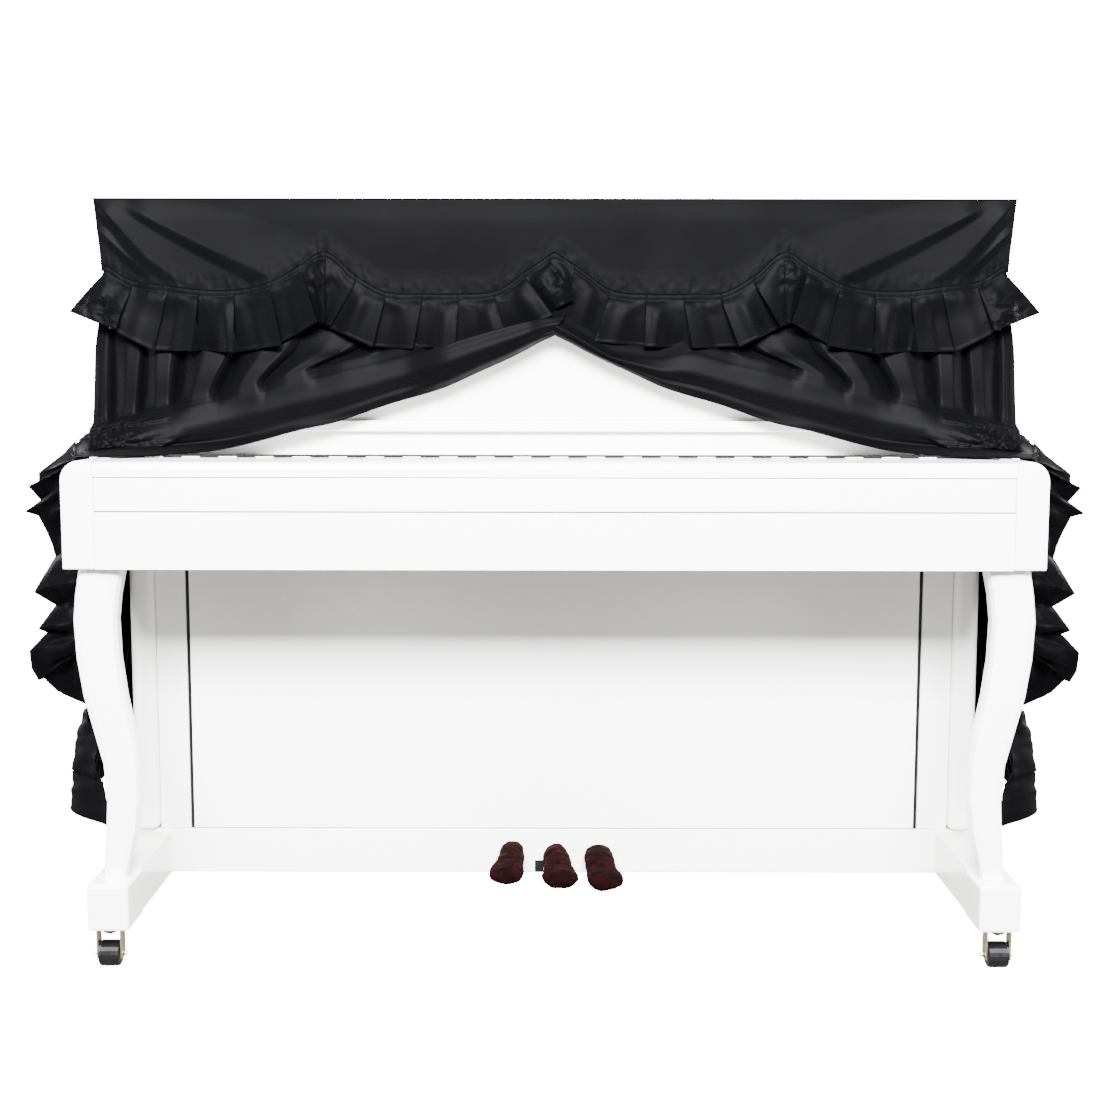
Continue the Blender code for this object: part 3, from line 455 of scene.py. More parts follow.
def straight(rows, t):
    """The row at t, counted in rows, on straight lines through them."""
    i = min(max(int(t), 0), len(rows) - 2)
    return tuple(mix(a, b, t - i) for a, b in zip(rows[i], rows[i + 1]))


def creases(point, size, seed=0.0):
    """Sharp ridges between dents, from -1 to 1."""
    at = Vector(point) / size + Vector((seed, 2.3 * seed, 0.7 * seed))
    ridge = 1 - 2.6 * abs(noise.noise(at))
    fine = 1 - 2.6 * abs(noise.noise(at * 2.3 + Vector((5.1, 0, 0))))
    return max(-1, min(1, 0.7 * ridge + 0.3 * fine))


def seam_height(x):
    return smooth(SEAM, abs(x))


# Scene, materials


def put(name, data):
    """An object in the scene."""
    made = bpy.data.objects.new(name, data)
    bpy.context.scene.collection.objects.link(made)
    return made


def set_camera():
    data = bpy.data.cameras.new("camera")
    data.sensor_width = 36
    data.lens = CAMERA_LENS
    camera = put("camera", data)
    camera.matrix_world = (
        Matrix.Translation(CAMERA_AT)
        @ Matrix.Rotation(math.radians(CAMERA_TURN), 4, "Z")
        @ Matrix.Rotation(math.radians(90 - CAMERA_DOWN), 4, "X")
        @ Matrix.Rotation(math.radians(CAMERA_ROLL), 4, "Z")
    )
    bpy.context.scene.camera = camera


class Shader:
    """A node material, with a short way to add and join its nodes. In a socket's name an
    underscore stands for a space."""

    def __init__(self, name, **constants):
        self.material = bpy.data.materials.new(name)
        self.material.use_nodes = True
        self.nodes = self.material.node_tree.nodes
        self.links = self.material.node_tree.links
        self.principled = self.nodes["Principled BSDF"]
        for socket, value in constants.items():
            self.principled.inputs[socket.replace("_", " ")].default_value = value

    def add(self, kind, **values):
        """A node. Each value is joined to a socket, or is a socket's or a setting's."""
        node = self.nodes.new("ShaderNode" + kind)
        for name, value in values.items():
            socket = node.inputs.get(name.replace("_", " "))
            if isinstance(value, bpy.types.NodeSocket):
                self.links.new(value, socket)
            elif socket is not None:
                socket.default_value = value
            else:
                setattr(node, name, value)
        return node

    def noise(self, scale, detail=3.0, vector=None):
        """Noise over the object, or over another vector."""
        if vector is None:
            vector = self.add("TexCoord").outputs["Object"]
        return self.add("TexNoise", Vector=vector, Scale=scale, Detail=detail).outputs["Fac"]

    def spread(self, value, low, high, start=0.3, end=0.7):
        return self.add("MapRange", Value=value, From_Min=start, From_Max=end,
                        To_Min=low, To_Max=high).outputs["Result"]

    def blend(self, factor, a, b):
        node = self.add("Mix", data_type="RGBA")
        self.links.new(factor, node.inputs["Factor"])
        node.inputs["A"].default_value = (*a, 1)
        node.inputs["B"].default_value = (*b, 1)
        return node.outputs["Result"]

    def bump(self, height, strength, distance):
        node = self.add("Bump", Height=height, Strength=strength, Distance=distance)
        self.join(node.outputs["Normal"], "Normal")

    def join(self, value, socket):
        self.links.new(value, self.principled.inputs[socket])


def make_satin(name, specular):
    shader = Shader(name, IOR=1.5, Specular_IOR_Level=specular, Sheen_Weight=SATIN_SHEEN,
                    Sheen_Roughness=0.45)
    uv = shader.add("UVMap", uv_map="cloth").outputs["UV"]
    stretched = shader.add("Mapping", Vector=uv, Scale=SATIN_THREADS).outputs["Vector"]
    threads = shader.noise(1.0, 2.0, stretched)
    soft = shader.spread(shader.noise(9.0), 0, 1)
    shader.join(shader.blend(soft, SATIN_DARK, SATIN_LIGHT), "Base Color")
    shader.join(shader.spread(threads, SATIN_ROUGH - 0.03, SATIN_ROUGH + 0.03), "Roughness")
    shader.bump(threads, 0.12, 0.0004)
    return shader.material


def make_velvet():
    shader = Shader("velvet", Roughness=0.85, Specular_IOR_Level=VELVET_SPECULAR,
                    Sheen_Weight=VELVET_SHEEN, Sheen_Roughness=0.35,
                    Sheen_Tint=VELVET_SHEEN_TINT)
    nap = shader.spread(shader.noise(55.0, 4.0), 0, 1, 0.35, 0.65)
    shader.join(shader.blend(nap, VELVET_DARK, VELVET_LIGHT), "Base Color")
    shader.bump(shader.noise(900.0, 2.0), 0.5, 0.0006)
    return shader.material


def make_lacquer():
    shader = Shader("white_gloss", Base_Color=(*LACQUER, 1), Coat_Weight=LACQUER_COAT,
                    Coat_Roughness=0.06)
    shader.join(shader.spread(shader.noise(14.0), 0.20, 0.28), "Roughness")
    # Faces that point down are dark brown: painted shade, which cuts the light thrown back into
    # the knee space under the keybed
    normal = shader.add("NewGeometry").outputs["True Normal"]
    up = shader.add("SeparateXYZ", Vector=normal).outputs["Z"]
    under = shader.spread(up, 1, 0, -0.95, -0.90)
    shader.join(shader.blend(under, LACQUER, UNDERSIDE_SHADE), "Base Color")
    shader.bump(shader.noise(22.0, 2.0), 0.03, 0.0006)
    return shader.material


def make_brass():
    shader = Shader("brass", Base_Color=(*BRASS, 1), Metallic=1.0)
    shader.join(shader.spread(shader.noise(160.0, 4.0), 0.24, 0.42), "Roughness")
    shader.bump(shader.noise(420.0, 2.0), 0.08, 0.0003)
    return shader.material


def make_rubber():
    shader = Shader("black_rubber", Base_Color=(*RUBBER, 1),
                    Specular_IOR_Level=RUBBER_SPECULAR)
    shader.join(shader.spread(shader.noise(120.0, 4.0), 0.26, 0.42), "Roughness")
    shader.bump(shader.noise(300.0, 2.0), 0.06, 0.0004)
    return shader.material


# Pieces


def cloth(node, us, vs, place, material=None):
    """A fine sheet for a node: place(u, v) is its middle at each of us and vs. Its UV map
    holds metres along the cloth."""
    name = f"{node}_fine"
    wide, tall = len(us), len(vs)
    points = [Vector(place(u, v)) for v in vs for u in us]
    faces = [(r * wide + c, r * wide + c + 1, (r + 1) * wide + c + 1, (r + 1) * wide + c)
             for r in range(tall - 1) for c in range(wide - 1)]
    mesh = bpy.data.meshes.new(name)
    mesh.from_pydata(points, [], faces)
    across = [0.0] * len(points)
    down = [0.0] * len(points)
    for i in range(len(points)):
        if i % wide:
            across[i] = across[i - 1] + (points[i] - points[i - 1]).length
        if i >= wide:
            down[i] = down[i - wide] + (points[i] - points[i - wide]).length
    uv = mesh.uv_layers.new(name="cloth")
    for loop in mesh.loops:
        uv.data[loop.index].uv = (across[loop.vertex_index], down[loop.vertex_index])
    mesh.shade_smooth()
    mesh.set_sharp_from_angle(angle=CLOTH_SHARP)
    piece = add_piece(name, mesh, material or SATIN)
    solid = piece.modifiers.new("Cloth thickness", "SOLIDIFY")
    solid.thickness = CLOTH
    solid.offset = 0
    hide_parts(node)


def add_piece(name, mesh, material):
    mesh.materials.append(material)
    piece = put(name, mesh)
    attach(piece, "root")
    return piece


def dense(count):
    return count


def make_top():
    def place(x, depth):
        back = (depth - TOP_FRONT_DEPTH) / (TOP_BACK_DEPTH - TOP_FRONT_DEPTH)
        inside = ease((HALF_TOP - abs(x)) / 0.03) * ease(back / 0.08) * ease((1 - back) / 0.08)
        lift = 0.0012 * inside * (1 + noise.noise(Vector((x * 5, depth * 9, 0.4))))
        return x, y(depth), TOP_MIDDLE + lift

    cloth("cover_top", steps(-HALF_TOP, HALF_TOP, dense(160)),
          steps(TOP_FRONT_DEPTH, TOP_BACK_DEPTH, dense(40)), place)


def ridges(folds, x, z):
    """How far folds along crest lines stand forward, x from the middle. A fold falls
    away slowly above its crest, and steeply below it."""
    total = 0
    here = Vector((x, z))
    for line, above, below, height in folds:
        nearest = None
        for i in range(len(line) - 1):
            start, run = Vector(line[i]), Vector(line[i + 1]) - Vector(line[i])
            t = min(max((here - start).dot(run) / run.length_squared, 0), 1)
            off = here - (start + run * t)
            if nearest is None or off.length < nearest[0]:
                nearest = (off.length, (i + t) / (len(line) - 1), off.y + 0.3 * off.x > 0)
        distance, share, upper = nearest
        reach = (above if upper else below) * mix(0.30, 1.0, share ** 0.7)
        gone = min(distance / reach, 1)
        profile = (1 - gone) ** 1.25 if upper else mix(1 - gone, 1 - ease(gone), 0.3)
        total += height * profile * ease(share / 0.12 + 0.10) \
            * (1 - 0.5 * ease((share - 0.7) / 0.3))
    return total


def yoke_fold(x, z):
    return ridges(YOKE_FOLDS, x, z) * (1 - ease((0.30 - x) / 0.12))


def yoke_place(u, v):
    """The yoke: u from -1 to 1 across, v from 0 at the lid to 1 at the seam."""
    low = seam_height(u * HALF_SEAM) - SEAM_BELOW
    flat = low + 0.028
    z = mix(HANG_TOP, flat, v / 0.8) if v < 0.8 else mix(flat, low, (v - 0.8) / 0.2)
    x = u * smooth(WAIST, z)
    # It ends flush with the frill's head, and is drawn in a little along the seam
    above_seam = ease((z - seam_height(x) - SEAM_ABOVE + 0.0012) / 0.0014)
    near = 1 - ease((z - seam_height(x)) / 0.045)
    forward = yoke_fold(abs(x), max(z, low + 0.02)) + 0.0012 * near * above_seam
    forward += 0.0013 * near * above_seam * creases((x, 0, z * 0.25), PUCKER_SIZE, 12.0)
    forward += 0.0016 * ease((HANG_TOP - z) / 0.04) * (1 - near) \
        * (0.6 + noise.noise(Vector((x * 4, 0, z * 6))))
    return x, y(YOKE_DEPTH - max(forward, 0)), z


def make_yoke():
    heights = steps(0, 0.8, dense(60)) + [0.82, 0.84, 0.86, 0.875, 0.89, 0.90, 0.908, 0.914,
                                          0.919, 0.923, 0.928, 0.936, 0.95, 0.97, 1.0]
    cloth("cover_yoke", steps(-1, 1, dense(420)), heights, yoke_place)


def frill_columns():
    """Columns of the front frill from left to right, as pleats with their cloth tucked
    under each front edge: x at the seam, x and height at the hem, layers from the yoke at
    the seam, depth at the hem, bulge."""
    columns = []
    middle = len(FRONT_PLEATS) // 2
    count = dense(14)

    def edge(pleat, tucked, layers, deep, away=1):
        """A line down the cloth at a pleat: tucked from 0 at its front edge to 1 at the
        tuck's end, on the side that the tuck goes."""
        seam_x, hem_x, hem_z, forward = pleat[:4]
        opening = pleat[6] - 1
        return (seam_x + away * TUCK * tucked, hem_x - away * TUCK * tucked * opening,
                hem_z + 0.0015 * tucked, layers,
                FRILL_BACK - FRILL_FORWARD * forward * (1 - deep) + TUCK_BACK * deep, 0.0)

    def face(start, end, pleat):
        # Eased towards the front edge, so that the fold stands crisply out
        for t in steps(0, 1, count)[:-1]:
            column = [mix(a, b, t) for a, b in zip(start, end)]
            out = t ** 1.5 if end[3] > start[3] else 1 - (1 - t) ** 1.5
            column[4] = mix(start[4], end[4], out)
            column[5] = pleat[4] * math.exp(-((t - pleat[5]) / 0.16) ** 2) \
                * ease(t / 0.15) * ease((1 - t) / 0.15)
            columns.append(tuple(column))

    for i, (pleat, following) in enumerate(zip(FRONT_PLEATS, FRONT_PLEATS[1:])):
        if i < middle:
            start = edge(pleat, 1 if i else 0, 0, 1, -1)
            face(start, edge(following, 0, 2, 0), following)
            columns.append(edge(following, 0, 2, 0))
            columns.append(edge(following, -0.05, 1.5, 0.04, -1))
            for t in steps(0.04, 0.96, 4):
                columns.append(edge(following, t, 1, mix(0.08, 0.80, t), -1))
            columns.append(edge(following, 1.02, 0.5, 0.92, -1))
        elif i > middle:
            columns.append(edge(pleat, 1.02, 0.5, 0.92))
            for t in steps(0.96, 0.04, 4):
                columns.append(edge(pleat, t, 1, mix(0.08, 0.80, t)))
            columns.append(edge(pleat, -0.05, 1.5, 0.04))
            last = i == len(FRONT_PLEATS) - 2
            end = edge(following, 0 if last else 1, 0, 1)
            face(edge(pleat, 0, 2, 0), end, pleat)
            if last:
                columns.append(end)
        else:
            face(edge(pleat, 1, 0, 1, -1), edge(following, 1, 0, 1), pleat)
    return columns


def make_front_frill():
    columns = frill_columns()
    heights = [-1.0, -0.7, -0.4, -0.15, 0.0, 0.02, 0.05, 0.09] + steps(0.13, 0.94, dense(24)) \
        + [0.955, 0.968, 0.978, 0.99, 1.0]

    def place(i, v):
        seam_x, hem_x, hem_z, layers, hem_depth, bulge = columns[i]
        low = seam_height(seam_x) - SEAM_BELOW
        seam_depth = YOKE_DEPTH - LAYER * (1 + layers * mix(0.3, 1, ease(v / 0.12)))
        fold = yoke_fold(abs(seam_x), low + 0.02)
        if v <= 0:
            point = Vector((seam_x, 0, low - v * (SEAM_ABOVE + SEAM_BELOW)))
            pucker = 0.0006 + 0.0010 * creases((point.x, 0, point.z * 0.35),
                                                PUCKER_SIZE, PUCKER_SEED)
            # Its top edge is sewn down flush with the yoke
            sewn = 0.0010 * ease((-v - 0.75) / 0.25)
            return point.x, y(seam_depth - pucker - fold + sewn), point.z
        depth = mix(seam_depth, hem_depth, v ** 0.85) - fold * (1 - ease(v / 0.5))
        point = Vector((mix(seam_x, hem_x, v), 0, mix(low, hem_z, v)))
        depth -= FRILL_BULGE * math.sin(math.pi * v ** 0.8) * (0.6 + 0.2 * layers)
        depth -= smooth(HEM_LEAN, abs(point.x)) * v
        depth -= bulge * ease(v / 0.35)
        # The hem is turned up and sewn, and the head is puckered by its gathers
        depth -= 0.0005 * (ease((v - 0.945) / 0.012) - 0.6 * ease((v - 0.985) / 0.015))
        head = 1 - ease(v / 0.35)
        depth -= head * (0.0006 + 0.0016 * creases((point.x, 0, point.z * 0.25), PUCKER_SIZE,
                                                   PUCKER_SEED))
        for at_x, at_z, reach, deep in FRILL_CREASES:
            near = 1 - ease(math.hypot(point.x - at_x, point.z - at_z) / reach)
            depth -= deep * near * ease(v / 0.12) * max(creases(point, 0.024, 4.0), -0.3)
        depth -= 0.0018 * ease(v / 0.2) * noise.noise(Vector((point.x * 26, layers, point.z * 14)))
        return point.x, y(depth), point.z

    cloth("frill_front", range(len(columns)), heights, place,
          material=SATIN_SHADED)


def fold_forward(t):
    """How far a curtain's folds bring it forward: each is a flat crest, a sharp drop on its
    inner side, and a slow rise to the next one."""
    last = len(CURTAIN_FOLDS) - 2
    if t < 1 or t >= last - 1:
        return along(CURTAIN_FOLDS, t)[3]
    crest = 1 + 2 * int((t - 1) / 2)
    here, valley, following = (CURTAIN_FOLDS[i][3] for i in (crest, crest + 1, crest + 2))
    p = (t - crest) / 2
    if p < VALLEY_AT:
        drop = max((p - DROP_FROM) / (VALLEY_AT - DROP_FROM), 0)
        return mix(FOLD_CREST * here, FOLD_VALLEY * valley, drop ** 1.4)
    rise = min((p - VALLEY_AT) / RISE_OVER, 1)
    return mix(FOLD_VALLEY * valley, FOLD_CREST * following, 1 - (1 - rise) ** 1.25)


def curtain_section(t, side):
    """Points down a curtain at one of its folds: (distance from the middle, depth, height)."""
    roll_x, hem_x, seam_x, _ = along(CURTAIN_FOLDS, t)
    forward = fold_forward(t)
    seam_z = seam_height(seam_x)
    edge_x = min(roll_x, CURTAIN_END)
    edge_z = smooth(FREE_EDGE, edge_x)
    edge_depth = smooth(FREE_EDGE, edge_x, 2)
    roll_z = smooth(ROLL_TOP, roll_x)
    over = 1 - ease((roll_x - ROLL_OVER_FULL) / (ROLL_OVER_NONE - ROLL_OVER_FULL))
    under_z = smooth(UNDER_FRILL, min(roll_x, 0.26))
    if side > 0:
        roll_z = mix(roll_z, under_z, over)
        over = 0
    over *= ease(roll_x / 0.05)
    back = YOKE_DEPTH + LAYER
    drape_z = mix(roll_z + 0.018, under_z, over)
    hem_z = max(0.985, drape_z + 0.02)
    deep = roll_z - edge_z
    turn = mix(0.0, 0.030, ease((roll_x - 0.50) / 0.25))
    rows = [
        (seam_x, back, seam_z + 0.010),
        (seam_x, back, seam_z - SEAM_BELOW),
        (mix(seam_x, hem_x, 0.6), 0.2490, mix(seam_z, hem_z, 0.6)),
        (hem_x, 0.2478 - 0.65 * forward, hem_z),
        (mix(hem_x, roll_x, 0.5), 0.2415 - 0.95 * forward, mix(hem_z, drape_z, 0.5)),
        (roll_x, mix(0.2340 - 0.8 * forward, 0.2430, over), drape_z),
        (roll_x, mix(0.2262 - 0.4 * forward - turn * 0.3, 0.2230, over),
         mix(roll_z + 0.004, under_z - 0.004, over)),
    ]
    for down, out, out_over, turned in ROLL_PROFILE:
        rows.append((mix(roll_x, edge_x, down), mix(out, out_over, over) - turn * turned
                     - 0.2 * forward * (1 - ease(down / 0.3)), roll_z - down * deep))
    return rows + [(edge_x, edge_depth, edge_z)]


def gathered(x, z):
    """How strongly the curtain's end is gathered at a point, from 0 to 1."""
    at_x, at_z, reach = GATHER
    return 1 - ease(math.hypot((x - at_x) * 0.7, z - at_z) / reach)


def make_curtain(word, side):
    count = dense(11)
    ts = steps(0, len(CURTAIN_FOLDS) - 1, count * (len(CURTAIN_FOLDS) - 1))
    sections = {t: curtain_section(t, side) for t in ts}
    last = len(sections[0]) - 1

    def place(t, v):
        x, depth, z = along(sections[t], v)
        # The curtains meet, the left one lying over the right one
        lap = mix(0.004, 0.022, ease((z - 1.01) / 0.03)) if side < 0 else 0.003
        x -= lap * (1 - ease(x / 0.03))
        free = ease((v - 4) / 2)
        pull = gathered(x, z) * free
        depth -= GATHER_DEEP * pull * max(creases((x, depth * 0.4, z), 0.020, 1.5), -0.2)
        depth -= GATHER_FINE * pull * creases((x, depth * 0.4, z), 0.009, 4.5)
        if free > 0 and x > 0.5:
            depth -= free * ridges(END_FOLDS, x, z)
        depth -= 0.0010 * ease((v - 1.2) / 1.5) * noise.noise(Vector((x * 16, 0, z * 12)))
        # A narrow hem along the free edge
        depth -= 0.0008 * ease((v - last + 0.45) / 0.15) * (1 - ease((v - last + 0.1) / 0.1))
        return side * x, y(depth), z

    cloth(f"curtain_{word}", ts, steps(0, last, last * dense(7)), place)


def tail_rows(side):
    """Sections of a curtain's tail, each from its rear edge to its front edge."""
    first = curtain_section(0, side)[TAIL_FIRST:]
    rows = [[(x + 0.0008, depth, z) for x, depth, z in first]]
    last = len(first) - 1
    for front_z, front_x, front_depth, rear_x, rear_depth, rear_z, ripple, bulge in TAIL:
        row = []
        for k in range(last + 1):
            t = k / last
            wave = ripple * math.sin(math.tau * TAIL_RIPPLES * (1 - t)) * (1 - t ** 6)
            out = bulge * math.sin(math.pi * t)
            row.append((mix(rear_x, front_x, t ** 1.3) + wave + out,
                        mix(rear_depth, front_depth, t), mix(rear_z, front_z, t)))
        rows.append(row)
    return rows


def tail_point(rows, i, k):
    return Vector(along([along(row, k) for row in rows], i))


def tail_surface(rows, i, k):
    """The tail's cloth with the creases of its gathered upper edge."""
    point = tail_point(rows, i, k)
    pull = (1 - ease((i - 0.5) / 2.5)) * ease(i / 0.5)
    point.x += 0.005 * pull * creases((point.x, point.y, point.z), 0.022, 6.0)
    point.x += 0.0015 * ease(i) * noise.noise(point * 18)
    return point


def make_tail(word, side):
    rows = tail_rows(side)
    last = len(rows[0]) - 1

    def place(i, k):
        point = tail_surface(rows, i, k)
        return side * point.x, y(point.y), point.z

    cloth(f"curtain_tail_{word}", steps(0, len(rows) - 1, dense(60)),
          steps(0, last, dense(60)), place)


def tail_edge(rows, share, inside=0.0):
    """A point of the tail's front edge (share 0 to 1), then of its hem (1 to 2), or as
    far inside it as that part of a row or a column."""
    last = len(rows[0]) - 1
    if share <= 1:
        return tail_surface(rows, 1 + share * (len(rows) - 2), last - inside)
    return tail_surface(rows, len(rows) - 1 - inside, last * (2 - share))


def tail_head(rows, share):
    """Where the frill's head is sewn: on the tail's outer face, lapping its edge."""
    edge = tail_edge(rows, share)
    on_hem = ease((share - 0.92) / 0.16)
    inner = tail_edge(rows, min(share, 1), 0.15).lerp(tail_edge(rows, max(share, 1.0001), 0.15),
                                                      on_hem)
    inward = (inner - edge).normalized()
    ahead = tail_edge(rows, min(share + 0.02, 2)) - tail_edge(rows, max(share - 0.02, 0))
    out = ahead.cross(inward).normalized()
    return edge + inward * HEAD_LAP + (out if out.x > 0 else -out) * TAIL_HEAD_OUT


def make_tail_frill(word, side):
    rows = tail_rows(side)

    def place(t, v):
        share, outer_x, outer_z, outer_depth = straight(TAIL_FRILL, t)
        root = tail_head(rows, share)
        point = root.lerp(Vector((outer_x, outer_depth, outer_z)), v)
        # Each pleat bellies between its folds, and the gathers pucker its root
        belly = math.sin(math.pi * (t % 1)) * math.sin(math.pi * min(v * 1.2, 1))
        point.y -= 0.006 * belly * (1 if int(t) % 2 else -1) * ease(v / 0.2)
        point.y += 0.003 * ease(v / 0.2) * creases(tuple(point), 0.030, 2.0) * (1 - v * 0.5)
        return side * point.x, y(point.y), point.z

    last = len(TAIL_FRILL) - 1
    cloth(f"tail_frill_{word}", steps(0, last, 8 * last), steps(0, 1, dense(20)), place)


def panel_turn(back, z):
    """How far a side panel has turned in behind, from 0 to 1."""
    return 0.85 * ease((back - 0.68) / 0.32) * ease((1.0 - z) / 0.4)


def panel_distance(depth, z):
    """Distance of a side panel's middle from the piano's middle."""
    back = (depth - PANEL_FRONT_DEPTH) / (PANEL_BACK_DEPTH - PANEL_FRONT_DEPTH)
    ripple = 0.013 * ease((1.085 - z) / 0.75)
    wave = math.sin(math.tau * PANEL_RIPPLES * back) * ease(back / 0.1)
    return mix(smooth(PANEL_FLARE, z) + ripple * wave, PANEL_REAR, panel_turn(back, z))


def panel_depth(back, z):
    front = mix(PANEL_FRONT_DEPTH, PANEL_SHOULDER_DEPTH, ease((z - 1.127) / 0.013))
    rear = mix(PANEL_BACK_DEPTH, PANEL_CORNER_DEPTH, ease((z - 0.88) / 0.06))
    return mix(front, rear, back)


def make_side_panel(word, side):
    def place(back, z):
        depth = panel_depth(back, z)
        inside = ease(back / 0.05) * ease((1 - back) / 0.05)
        low = ease((1.08 - z) / 0.3)
        out = 0.0015 * inside * low * noise.noise(Vector((depth * 16, 2, z * 7)))
        return side * (panel_distance(depth, z) + out), y(depth), z

    cloth(f"side_panel_{word}", steps(0, 1, dense(110)),
          steps(HANG_TOP, PANEL_BOTTOM, dense(90)), place)


def make_side_frill(word, side):
    columns = []
    for i in range(SIDE_FRILL_PLEATS):
        for t in steps(0, 1, 10):
            columns.append(((i + 0.93 * t) / SIDE_FRILL_PLEATS, 0.009 * t ** 1.5))
        columns.append(((i + 0.95) / SIDE_FRILL_PLEATS, 0.010))
        columns.append(((i + 0.95) / SIDE_FRILL_PLEATS, 0.005))
    columns.append((1, 0.0))

    def place(i, v):
        share, forward = columns[i]
        depth = mix(0.2530, PANEL_BACK_DEPTH - 0.002, share)
        at = SIDE_SEAM - SEAM_BELOW - min(v, 0) * (SEAM_ABOVE + SEAM_BELOW)
        flat = smooth(((1.085, 0.7465), (1.130, 0.7475)), at) + LAYER + 0.0002
        if v <= 0:
            return side * flat, y(depth), at
        out = mix(flat, SIDE_FRILL_OUT + forward, v ** 0.85)
        hem = SIDE_FRILL_HEM + 0.003 * noise.noise(Vector((depth * 30, 0, 1)))
        return side * out, y(depth), mix(at, hem, v)

    cloth(f"frill_side_{word}", range(len(columns)),
          [-1, -0.5, 0] + steps(0.06, 1, dense(16)), place)


def make_hem_frill(word, side):
    def place(share, down):
        pleat = share * HEM_FRILL_PLEATS
        zigzag = 4 * abs(pleat - math.floor(pleat + 0.5)) - 1
        zigzag = math.sin(zigzag * math.pi / 2) * 0.6 + zigzag * 0.4
        depth = panel_depth(share, PANEL_BOTTOM)
        out = panel_distance(depth, PANEL_BOTTOM) + HEAD_OUT
        top = PANEL_BOTTOM + HEAD_LAP
        away = ease(share / 0.09)
        flare = mix(mix(0.027, 0.041, ease(share / 0.4)), 0.010,
                    panel_turn(share, PANEL_BOTTOM))
        hem_x = mix(HEM_FRONT_OUT, out + flare + 0.010 * zigzag, away)
        hem_z = mix(HEM_FRILL_BOTTOM, HEM_FRILL_BOTTOM + 0.028, away) - 0.004 * zigzag
        x = mix(out, hem_x, down ** 0.85)
        z = mix(top, hem_z, down)
        lean = HEM_FRILL_LEAN * (1 - ease(share / 0.25)) * down
        depth -= lean
        x -= 0.30 * lean
        loose = ease(down / 0.15)
        x += 0.009 * loose * (1 - 0.5 * down) * creases((x, depth, z), 0.045, 7.5)
        x += 0.006 * ease((down - 0.35) / 0.20) * (1 - ease((down - 0.58) / 0.03)) \
            * (1 - ease(share / 0.25))
        x += 0.0012 * (1 - ease(down / 0.2)) * ease(down / 0.03) \
            * creases((0, depth, z * 0.3), 0.012)
        return side * x, y(depth), z

    cloth(f"hem_frill_{word}", steps(0, 1, HEM_FRILL_PLEATS * dense(14)),
          steps(0, 1, dense(36)), place)


def make_back():
    def place(x, z):
        low = ease((1.20 - z) / 0.2)
        ripple = 0.0012 * low * math.sin(x * 14)
        ripple += 0.0010 * low * noise.noise(Vector((x * 9, 3, z * 6)))
        return x, y(BACK_DROP_DEPTH + ripple), z

    cloth("cover_back", steps(-BACK_DROP_HALF, BACK_DROP_HALF, dense(150)),
          steps(HANG_TOP, BACK_DROP_BOTTOM, dense(40)), place)


def make_sleeve(word, rail_x, toe_x, rail_half, toe_half, top, bottom):
    """A velvet sleeve pulled over a pedal, with creases across it."""
    around = dense(72)
    rings = []
    for t in steps(0, len(SLEEVE_SECTIONS) - 1, dense(54)):
        forward, lean, size = along(SLEEVE_SECTIONS, t)
        half = mix(rail_half, toe_half, lean) * size
        high = mix(SLEEVE_RAIL_HIGH, SLEEVE_TOE_HIGH, lean) * size
        centre = Vector((mix(rail_x, toe_x, lean), y(RAIL_DEPTH - forward * SLEEVE_LENGTH),
                         mix(top - SLEEVE_RAIL_HIGH, bottom + SLEEVE_TOE_HIGH, lean)))
        ring = []
        for k in range(around):
            a = math.tau * k / around
            out = Vector((math.cos(a), 0, math.sin(a)))
            spot = centre + Vector((half * out.x, 0, high * out.z))
            dent = 0.0026 * creases((spot.x * 0.35, spot.y, spot.z), 0.017, 3.0 + 7 * rail_x)
            dent += 0.0008 * noise.noise(spot * 90)
            fade = ease(t / 0.6) * ease((len(SLEEVE_SECTIONS) - 1 - t) / 0.5)
            ring.append(spot + out * (dent * fade - 0.0005))
        rings.append(ring)
    points = [point for ring in rings for point in ring]
    faces = [(r * around + k, r * around + (k + 1) % around,
              (r + 1) * around + (k + 1) % around, (r + 1) * around + k)
             for r in range(len(rings) - 1) for k in range(around)]
    faces += [tuple(reversed(range(around))),
              tuple(range((len(rings) - 1) * around, len(rings) * around))]
    mesh = bpy.data.meshes.new(f"sleeve_{word}_fine")
    mesh.from_pydata(points, [], [tuple(reversed(face)) for face in faces])
    mesh.shade_smooth()
    piece = add_piece(f"sleeve_{word}_fine", mesh, VELVET)
    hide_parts(f"pedal_sleeve_{word}")


def skin(bm, rings):
    """Faces from each ring of vertices to the next, and over both ends."""
    for a, b in zip(rings, rings[1:]):
        for k in range(len(a)):
            following = (k + 1) % len(a)
            bm.faces.new((a[k], a[following], b[following], b[k]))
    bm.faces.new(reversed(rings[0]))
    bm.faces.new(rings[-1])


def barrel(bm, start, end, radius, sides=16):
    """A round bar with chamfered ends between two points."""
    axis = Vector(end) - Vector(start)
    turn = axis.to_track_quat("Z", "Y")
    rings = []
    chamfer = min(0.35 * radius, 0.4 * axis.length)
    for along_it, size in ((0, 0.74), (0.35 * chamfer, 0.88), (chamfer, 1),
                           (axis.length - chamfer, 1),
                           (axis.length - 0.35 * chamfer, 0.88), (axis.length, 0.74)):
        ring = []
        for k in range(sides):
            a = math.tau * k / sides
            off = Vector((math.cos(a) * radius * size, math.sin(a) * radius * size, along_it))
            ring.append(bm.verts.new(Vector(start) + turn @ off))
        rings.append(ring)
    skin(bm, rings)


